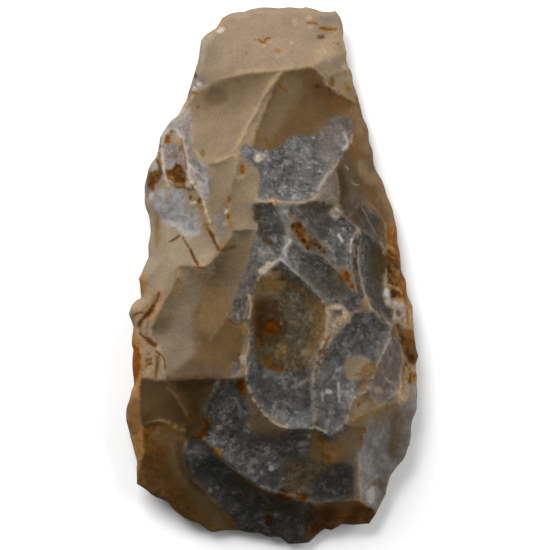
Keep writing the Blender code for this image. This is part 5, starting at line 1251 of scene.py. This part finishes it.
def sheet(rim, inner):
    """Triangles over the stone's plan, whose first vertices go round the rim."""
    plan = [Vector(point) for point in rim] + [Vector(point) for point in inner]
    border = [list(range(len(rim)))]
    places, _, faces, origins, _, _ = delaunay_2d_cdt(plan, [], border, FILLED_IN, TOUCHING)
    triangles = []
    for face in faces:
        a, b, c = (places[i] for i in face)
        corners = [origins[i][0] for i in face]
        if (b - a).cross(c - a) < 0.0:
            corners.reverse()
        triangles.append(corners)
    return triangles


rim = spaced(rim_edge, EDGE_STEP)
ridges, ridge_pales = ridge_points()
field = field_points(FIELD_STEP)
above = np.vstack((ridges, field[nearest(field, ridges)[1] > CLEARANCE * FIELD_STEP]))
below = field_points(UNDERSIDE_STEP)

coat, sunk, clear = finished(above)
inwards = edge_depth(above)
floor_under = underside(above)
top = upper_side(above, scars) + rippled(above, RIPPLES) - sunk
top = np.clip(top, floor_under + FLATTEST_EDGE * inwards, floor_under + STEEPEST_EDGE * inwards)
radius = np.linalg.norm(below - BULB, axis=1)
seat = underside(below)
rings = RING_HEIGHT * (1.0 + np.sin(2.0 * math.pi * radius / RING_SPACING))
faded = np.minimum(seat / RING_RISE, 1.0) * np.minimum(edge_depth(below) / RING_FADE, 1.0)
under = seat + faded * rings

rim_coat, _, _ = finished(rim)
below_coat, _, _ = finished(below)
clouds = eased(CLOUD_SHARE + rippled(below, UNDERSIDE_CLOUDS))[:, None]
plain_coat = COATS["fawn"] + clouds * (COATS["umber"] - COATS["fawn"])
below_coat += eased(edge_depth(below) / UNDERSIDE_BORDER)[:, None] * (plain_coat - below_coat)
closest, gap = nearest(above, ridges)
paleness = clear * ridge_pales[closest] * sum(share * np.exp(-(gap / width) ** 2)
                                              for width, share in RIM_WIDTHS)
edge_paleness = np.maximum(paleness, EDGE_PALE * np.exp(-(inwards / EDGE_WIDTH) ** 2))

places = np.vstack((np.column_stack((rim, underside(rim))), np.column_stack((above, top)),
                    np.column_stack((below, under))))
coats = np.vstack((rim_coat, coat, below_coat))
worn = np.concatenate((np.full(len(rim), EDGE_PALE), edge_paleness, np.zeros(len(below))))
relief = np.concatenate((np.zeros(len(rim)), np.minimum(inwards / GRAIN_FADE, 1.0),
                         np.zeros(len(below))))

# The two sheets share the points of the edge, and the lower one is turned over.
faces = sheet(rim, above)
for face in sheet(rim, below):
    faces.append([i if i < len(rim) else i + len(above) for i in reversed(face)])
mesh = bpy.data.meshes.new("flint_scraper")
mesh.from_pydata((MM * places).tolist(), [], faces)
mesh.update()
tint = mesh.attributes.new("tint", "FLOAT_COLOR", "POINT")
colours = np.column_stack((np.exp(coats[:, :3]), np.ones(len(coats))))
tint.data.foreach_set("color", colours.ravel())
for name, values in (("fleck", coats[:, 3]), ("grit", coats[:, 4]), ("gloss", coats[:, 5]),
                     ("mottle", coats[:, 6]), ("worn", worn), ("relief", relief)):
    mesh.attributes.new(name, "FLOAT", "POINT").data.foreach_set("value", values)
mesh.shade_smooth()
stone = bpy.data.objects.new("flint_stone", mesh)
bpy.context.scene.collection.objects.link(stone)

# The grain: a fine unevenness of every broken face, and a coarser one where the flint is gritty.
# Its sizes are in millimetres.
GRAIN_SIZES = {"Grain Height": 0.06, "Grain Size": 1.1, "Grit Height": 0.28, "Grit Size": 0.8}
GRAIN_DETAIL = 1.0


def join(tree, made, values):
    """Sets the inputs of a node, or links them to the nodes that they come from."""
    for place, value in values.items():
        if isinstance(value, bpy.types.NodeSocket):
            tree.links.new(value, made.inputs[place])
        else:
            made.inputs[place].default_value = value


def new_node(tree, kind, values, **settings):
    """The outputs of a new node that has those settings and inputs."""
    made = tree.nodes.new(kind)
    for setting, value in settings.items():
        setattr(made, setting, value)
    join(tree, made, values)
    return made.outputs


def build_grain():
    """A node tree that moves the faces in and out by noise, and gives them their material."""
    tree = bpy.data.node_groups.new("stone grain", "GeometryNodeTree")
    outside = tree.interface
    outside.new_socket("Stone", in_out="INPUT", socket_type="NodeSocketGeometry")
    for name in GRAIN_SIZES:
        outside.new_socket(name, in_out="INPUT", socket_type="NodeSocketFloat")
    outside.new_socket("Material", in_out="INPUT", socket_type="NodeSocketMaterial")
    outside.new_socket("Stone", in_out="OUTPUT", socket_type="NodeSocketGeometry")

    def add(kind, values, **settings):
        return new_node(tree, kind, values, **settings)

    def reckoned(operation, a, b):
        return add("ShaderNodeMath", {0: a, 1: b}, operation=operation)[0]

    def carried(name):
        return add("GeometryNodeInputNamedAttribute", {"Name": name}, data_type="FLOAT")[0]

    def lift(size, height, share):
        """Noise of a size, from minus to plus the height, as strong as the mesh says there."""
        per_metre = reckoned("DIVIDE", 1.0, size)
        rough = add("ShaderNodeTexNoise", {"Scale": per_metre, "Detail": GRAIN_DETAIL})[0]
        swing = reckoned("MULTIPLY", reckoned("SUBTRACT", rough, 0.5), 2.0)
        return reckoned("MULTIPLY", reckoned("MULTIPLY", swing, height), carried(share))

    given = add("NodeGroupInput", {})
    grain = lift(given["Grain Size"], given["Grain Height"], "relief")
    grit = lift(given["Grit Size"], given["Grit Height"], "grit")
    out = reckoned("ADD", grain, reckoned("MULTIPLY", grit, carried("relief")))
    normal = add("GeometryNodeInputNormal", {})[0]
    offset = add("ShaderNodeVectorMath", {0: normal, "Scale": out}, operation="SCALE")[0]
    moved = add("GeometryNodeSetPosition", {"Geometry": given["Stone"], "Offset": offset})[0]
    plain = add("GeometryNodeRealizeInstances", {"Geometry": moved})[0]
    dressed = add("GeometryNodeSetMaterial", {"Geometry": plain, "Material": given["Material"]})[0]
    add("NodeGroupOutput", {"Stone": dressed})
    return tree


# The flint itself: brown and even, with cherty parts full of pale flecks and pale worn ridges. What
# varies over it is noise, in layers. Each has its cells to the millimetre, its detail, its
# roughness, a turn that keeps it from lining up with the others, and its distortion. Then come the
# run of that noise which counts, and what it stands for from one end of the run to the other.
LAYERS = {
    "broad cloud": ((0.3, 3.0, 0.5, 0.4, 0.6), (0.3, 0.7, 0.92, 1.08)),
    "fine cloud": ((4.5, 3.0, 0.7, 1.3, 0.0), (0.3, 0.7, 0.82, 1.18)),
    "mottle": ((1.1, 4.0, 0.65, 5.2, 0.4), (0.34, 0.66, 0.35, 1.7)),
    "chert cloud": ((0.8, 4.0, 0.62, 0.9, 0.3), (0.35, 0.65, 0.68, 1.28)),
    "drift": ((0.35, 3.0, 0.55, 1.9, 0.6), (0.36, 0.64, 0.15, 1.0)),
    "wide fleck": ((0.5, 2.0, 0.55, 2.1, 0.3), (0.46, 0.78, 0.0, 0.32)),
    "fleck": ((0.9, 2.0, 0.55, 2.3, 0.3), (0.49, 0.78, 0.0, 0.36)),
    "small fleck": ((1.8, 2.0, 0.55, 2.7, 0.3), (0.52, 0.78, 0.0, 0.36)),
    "rust speck": ((1.3, 2.0, 0.5, 3.4, 0.3), (0.7, 0.78, 0.0, 0.3)),
    "rubbed": ((0.8, 3.0, 0.6, 3.9, 0.0), (0.36, 0.56, 0.0, 1.0)),
    "creamy": ((0.5, 2.0, 0.5, 5.9, 0.0), (0.4, 0.6, 0.0, 1.0)),
}
CURL = (1.0, 1.0, 0.5, 2.9, 0.8)         # the noise whose middle values draw the curls
CURL_RUN = (0.0, 0.01, 0.1, 0.0)         # and how strong they are on it and beside it
PORES = (2.5, 4.0, 0.6, 4.4, 0.0)        # the finest noise, which dulls and pits the faces
PORE_ROUGHNESS = (0.3, 0.7, 0.6, 0.74)
GLOSS_ROUGHNESS = 0.2            # how much less rough a glossy face is
PORE_DEPTH = 0.05                # in millimetres
PLAIN_PITTING = 0.3              # how much of it shows on a face without grit
SIDE_TURN = 0.7                  # the share of a layer's turn that is about the other axis
FLINT_IOR = 1.54
FLINT_SHINE = 0.015

flint = bpy.data.materials.new("flint")
flint.use_nodes = True
shader = flint.node_tree.nodes["Principled BSDF"]
join(flint.node_tree, shader, {"IOR": FLINT_IOR, "Specular IOR Level": FLINT_SHINE})


def node(kind, values, **settings):
    """The outputs of a new node of the flint's material."""
    return new_node(flint.node_tree, "ShaderNode" + kind, values, **settings)


def carried(name, output="Fac"):
    """What the stone's mesh carries at each point under that name."""
    return node("Attribute", {}, attribute_name=name)[output]


def noise_node(per_mm, detail, roughness, turn, distortion):
    """Noise with that many cells to the millimetre, turned so that no two layers line up."""
    place = node("Mapping", {0: object_place, 2: (turn, SIDE_TURN * turn, 0.0)})[0]
    return node("TexNoise", {"Vector": place, "Scale": per_mm / MM, "Detail": detail,
                             "Roughness": roughness, "Distortion": distortion})[0]


def between(value, low, high, start, end):
    """The value's run from low to high, smoothly drawn out from start to end, and held past them."""
    return node("MapRange", {0: value, 1: low, 2: high, 3: start, 4: end},
                interpolation_type="SMOOTHSTEP")[0]


def layer(name):
    """One of the layers of noise, from one end of its run to the other."""
    settings, run = LAYERS[name]
    return between(noise_node(*settings), *run)


def reckoned(operation, a, b):
    """The result of a sum on two values."""
    return node("Math", {0: a, 1: b}, operation=operation)[0]


def product(a, b, c):
    """Three values multiplied."""
    return reckoned("MULTIPLY", reckoned("MULTIPLY", a, b), c)


def laid(share, under, over, blend="MIX"):
    """One colour laid over another."""
    return node("Mix", {0: share, 6: under, 7: over}, data_type="RGBA", blend_type=blend)[2]


def shaded(under, name):
    """A colour made darker and brighter by a layer of noise."""
    return laid(1.0, under, layer(name), "MULTIPLY")


def paint(name):
    """The plain colour of one of the finishes."""
    return (*np.exp(COATS[name][:3]), 1.0)


object_place = node("TexCoord", {})["Object"]
fleck_share = carried("fleck")
ground = shaded(shaded(carried("tint", "Color"), "broad cloud"), "fine cloud")

# The skin and the rusty parts are mottled from dark to bright.
ground = laid(carried("mottle"), ground, shaded(ground, "mottle"))

# In the cherty parts the ground is clouded, with soft pale flecks of several sizes that lie in
# drifts, and thin curled lines among them.
ground = laid(fleck_share, ground, shaded(ground, "chert cloud"))
drifts = layer("drift")
for size in ("wide fleck", "fleck", "small fleck"):
    ground = laid(product(layer(size), drifts, fleck_share), ground, paint("milk"))
off_middle = reckoned("ABSOLUTE", reckoned("SUBTRACT", noise_node(*CURL), 0.5), 0.0)
curls = between(off_middle, *CURL_RUN)
ground = laid(product(curls, drifts, fleck_share), ground, paint("milk"))

# Rust has got in here and there, and the ridges are rubbed pale in places.
ground = laid(layer("rust speck"), ground, paint("rust"))
rubbed = reckoned("MULTIPLY", carried("worn"), layer("rubbed"))
ground = laid(rubbed, ground, laid(layer("creamy"), paint("chalk"), paint("cream")))

pores = noise_node(*PORES)
shine = reckoned("MULTIPLY", carried("gloss"), GLOSS_ROUGHNESS)
roughness = reckoned("SUBTRACT", between(pores, *PORE_ROUGHNESS), shine)
pitted = reckoned("ADD", carried("grit"), PLAIN_PITTING)
bump = node("Bump", {"Strength": pitted, "Distance": PORE_DEPTH * MM, "Height": pores})[0]
join(flint.node_tree, shader, {"Base Color": ground, "Roughness": roughness, "Normal": bump})

modifier = stone.modifiers.new("grain", "NODES")
modifier.node_group = build_grain()
sockets = {item.name: item.identifier for item in modifier.node_group.interface.items_tree
           if item.in_out == "INPUT"}
modifier[sockets["Material"]] = flint
for name, size in GRAIN_SIZES.items():
    modifier[sockets[name]] = size * MM
graph = bpy.context.evaluated_depsgraph_get()
grained = bpy.data.meshes.new_from_object(stone.evaluated_get(graph), preserve_all_data_layers=True,
                                          depsgraph=graph)
stone.modifiers.clear()
stone.data = grained
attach(stone, "root")
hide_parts("flint_scraper")

# =============================================================================================
# The floor and the light. A white sheet, a big soft light over the narrow end's left, a weaker one
# at the right, a pale room, and a camera straight above the stone. All in metres and watts.
# =============================================================================================
FLOOR_SIZE = 3.0
PAPER = {"Base Color": (0.92, 0.92, 0.92, 1.0), "Roughness": 0.9, "Specular IOR Level": 0.2}
LIGHTS = (("key", (-0.25, 0.42, 0.34), 0.45, 6.5),       # name, place, size across, power
          ("fill", (0.45, 0.15, 0.25), 0.4, 2.5))
ROOM = {"Color": (1.0, 1.0, 1.0, 1.0), "Strength": 0.2}
CAMERA_HEIGHT = 2.0
VIEW_WIDTH = 0.0987              # width of the floor that the camera takes in
VIEW_MIDDLE = (0.00057, 0.0)
SENSOR = 36.0                    # width of the camera's sensor, in millimetres

bpy.ops.mesh.primitive_plane_add(size=FLOOR_SIZE)
floor = bpy.context.object
floor.name = "floor"
paper = bpy.data.materials.new("paper")
paper.use_nodes = True
join(paper.node_tree, paper.node_tree.nodes["Principled BSDF"], PAPER)
floor.data.materials.append(paper)

# Each light is square and soft, and looks at the stone.
for name, place, size, power in LIGHTS:
    lamp = bpy.data.lights.new(name, "AREA")
    lamp.size = size
    lamp.energy = power
    holder = bpy.data.objects.new(name, lamp)
    holder.location = place
    holder.rotation_euler = Vector(place).to_track_quat("Z", "Y").to_euler()
    bpy.context.scene.collection.objects.link(holder)

world = bpy.data.worlds.new("room")
world.use_nodes = True
join(world.node_tree, world.node_tree.nodes["Background"], ROOM)
bpy.context.scene.world = world
bpy.context.scene.view_settings.view_transform = "Standard"

camera_data = bpy.data.cameras.new("camera")
camera_data.sensor_width = SENSOR
camera_data.lens = SENSOR * CAMERA_HEIGHT / VIEW_WIDTH
camera = bpy.data.objects.new("camera", camera_data)
camera.location = (*VIEW_MIDDLE, CAMERA_HEIGHT)
bpy.context.scene.collection.objects.link(camera)
bpy.context.scene.camera = camera
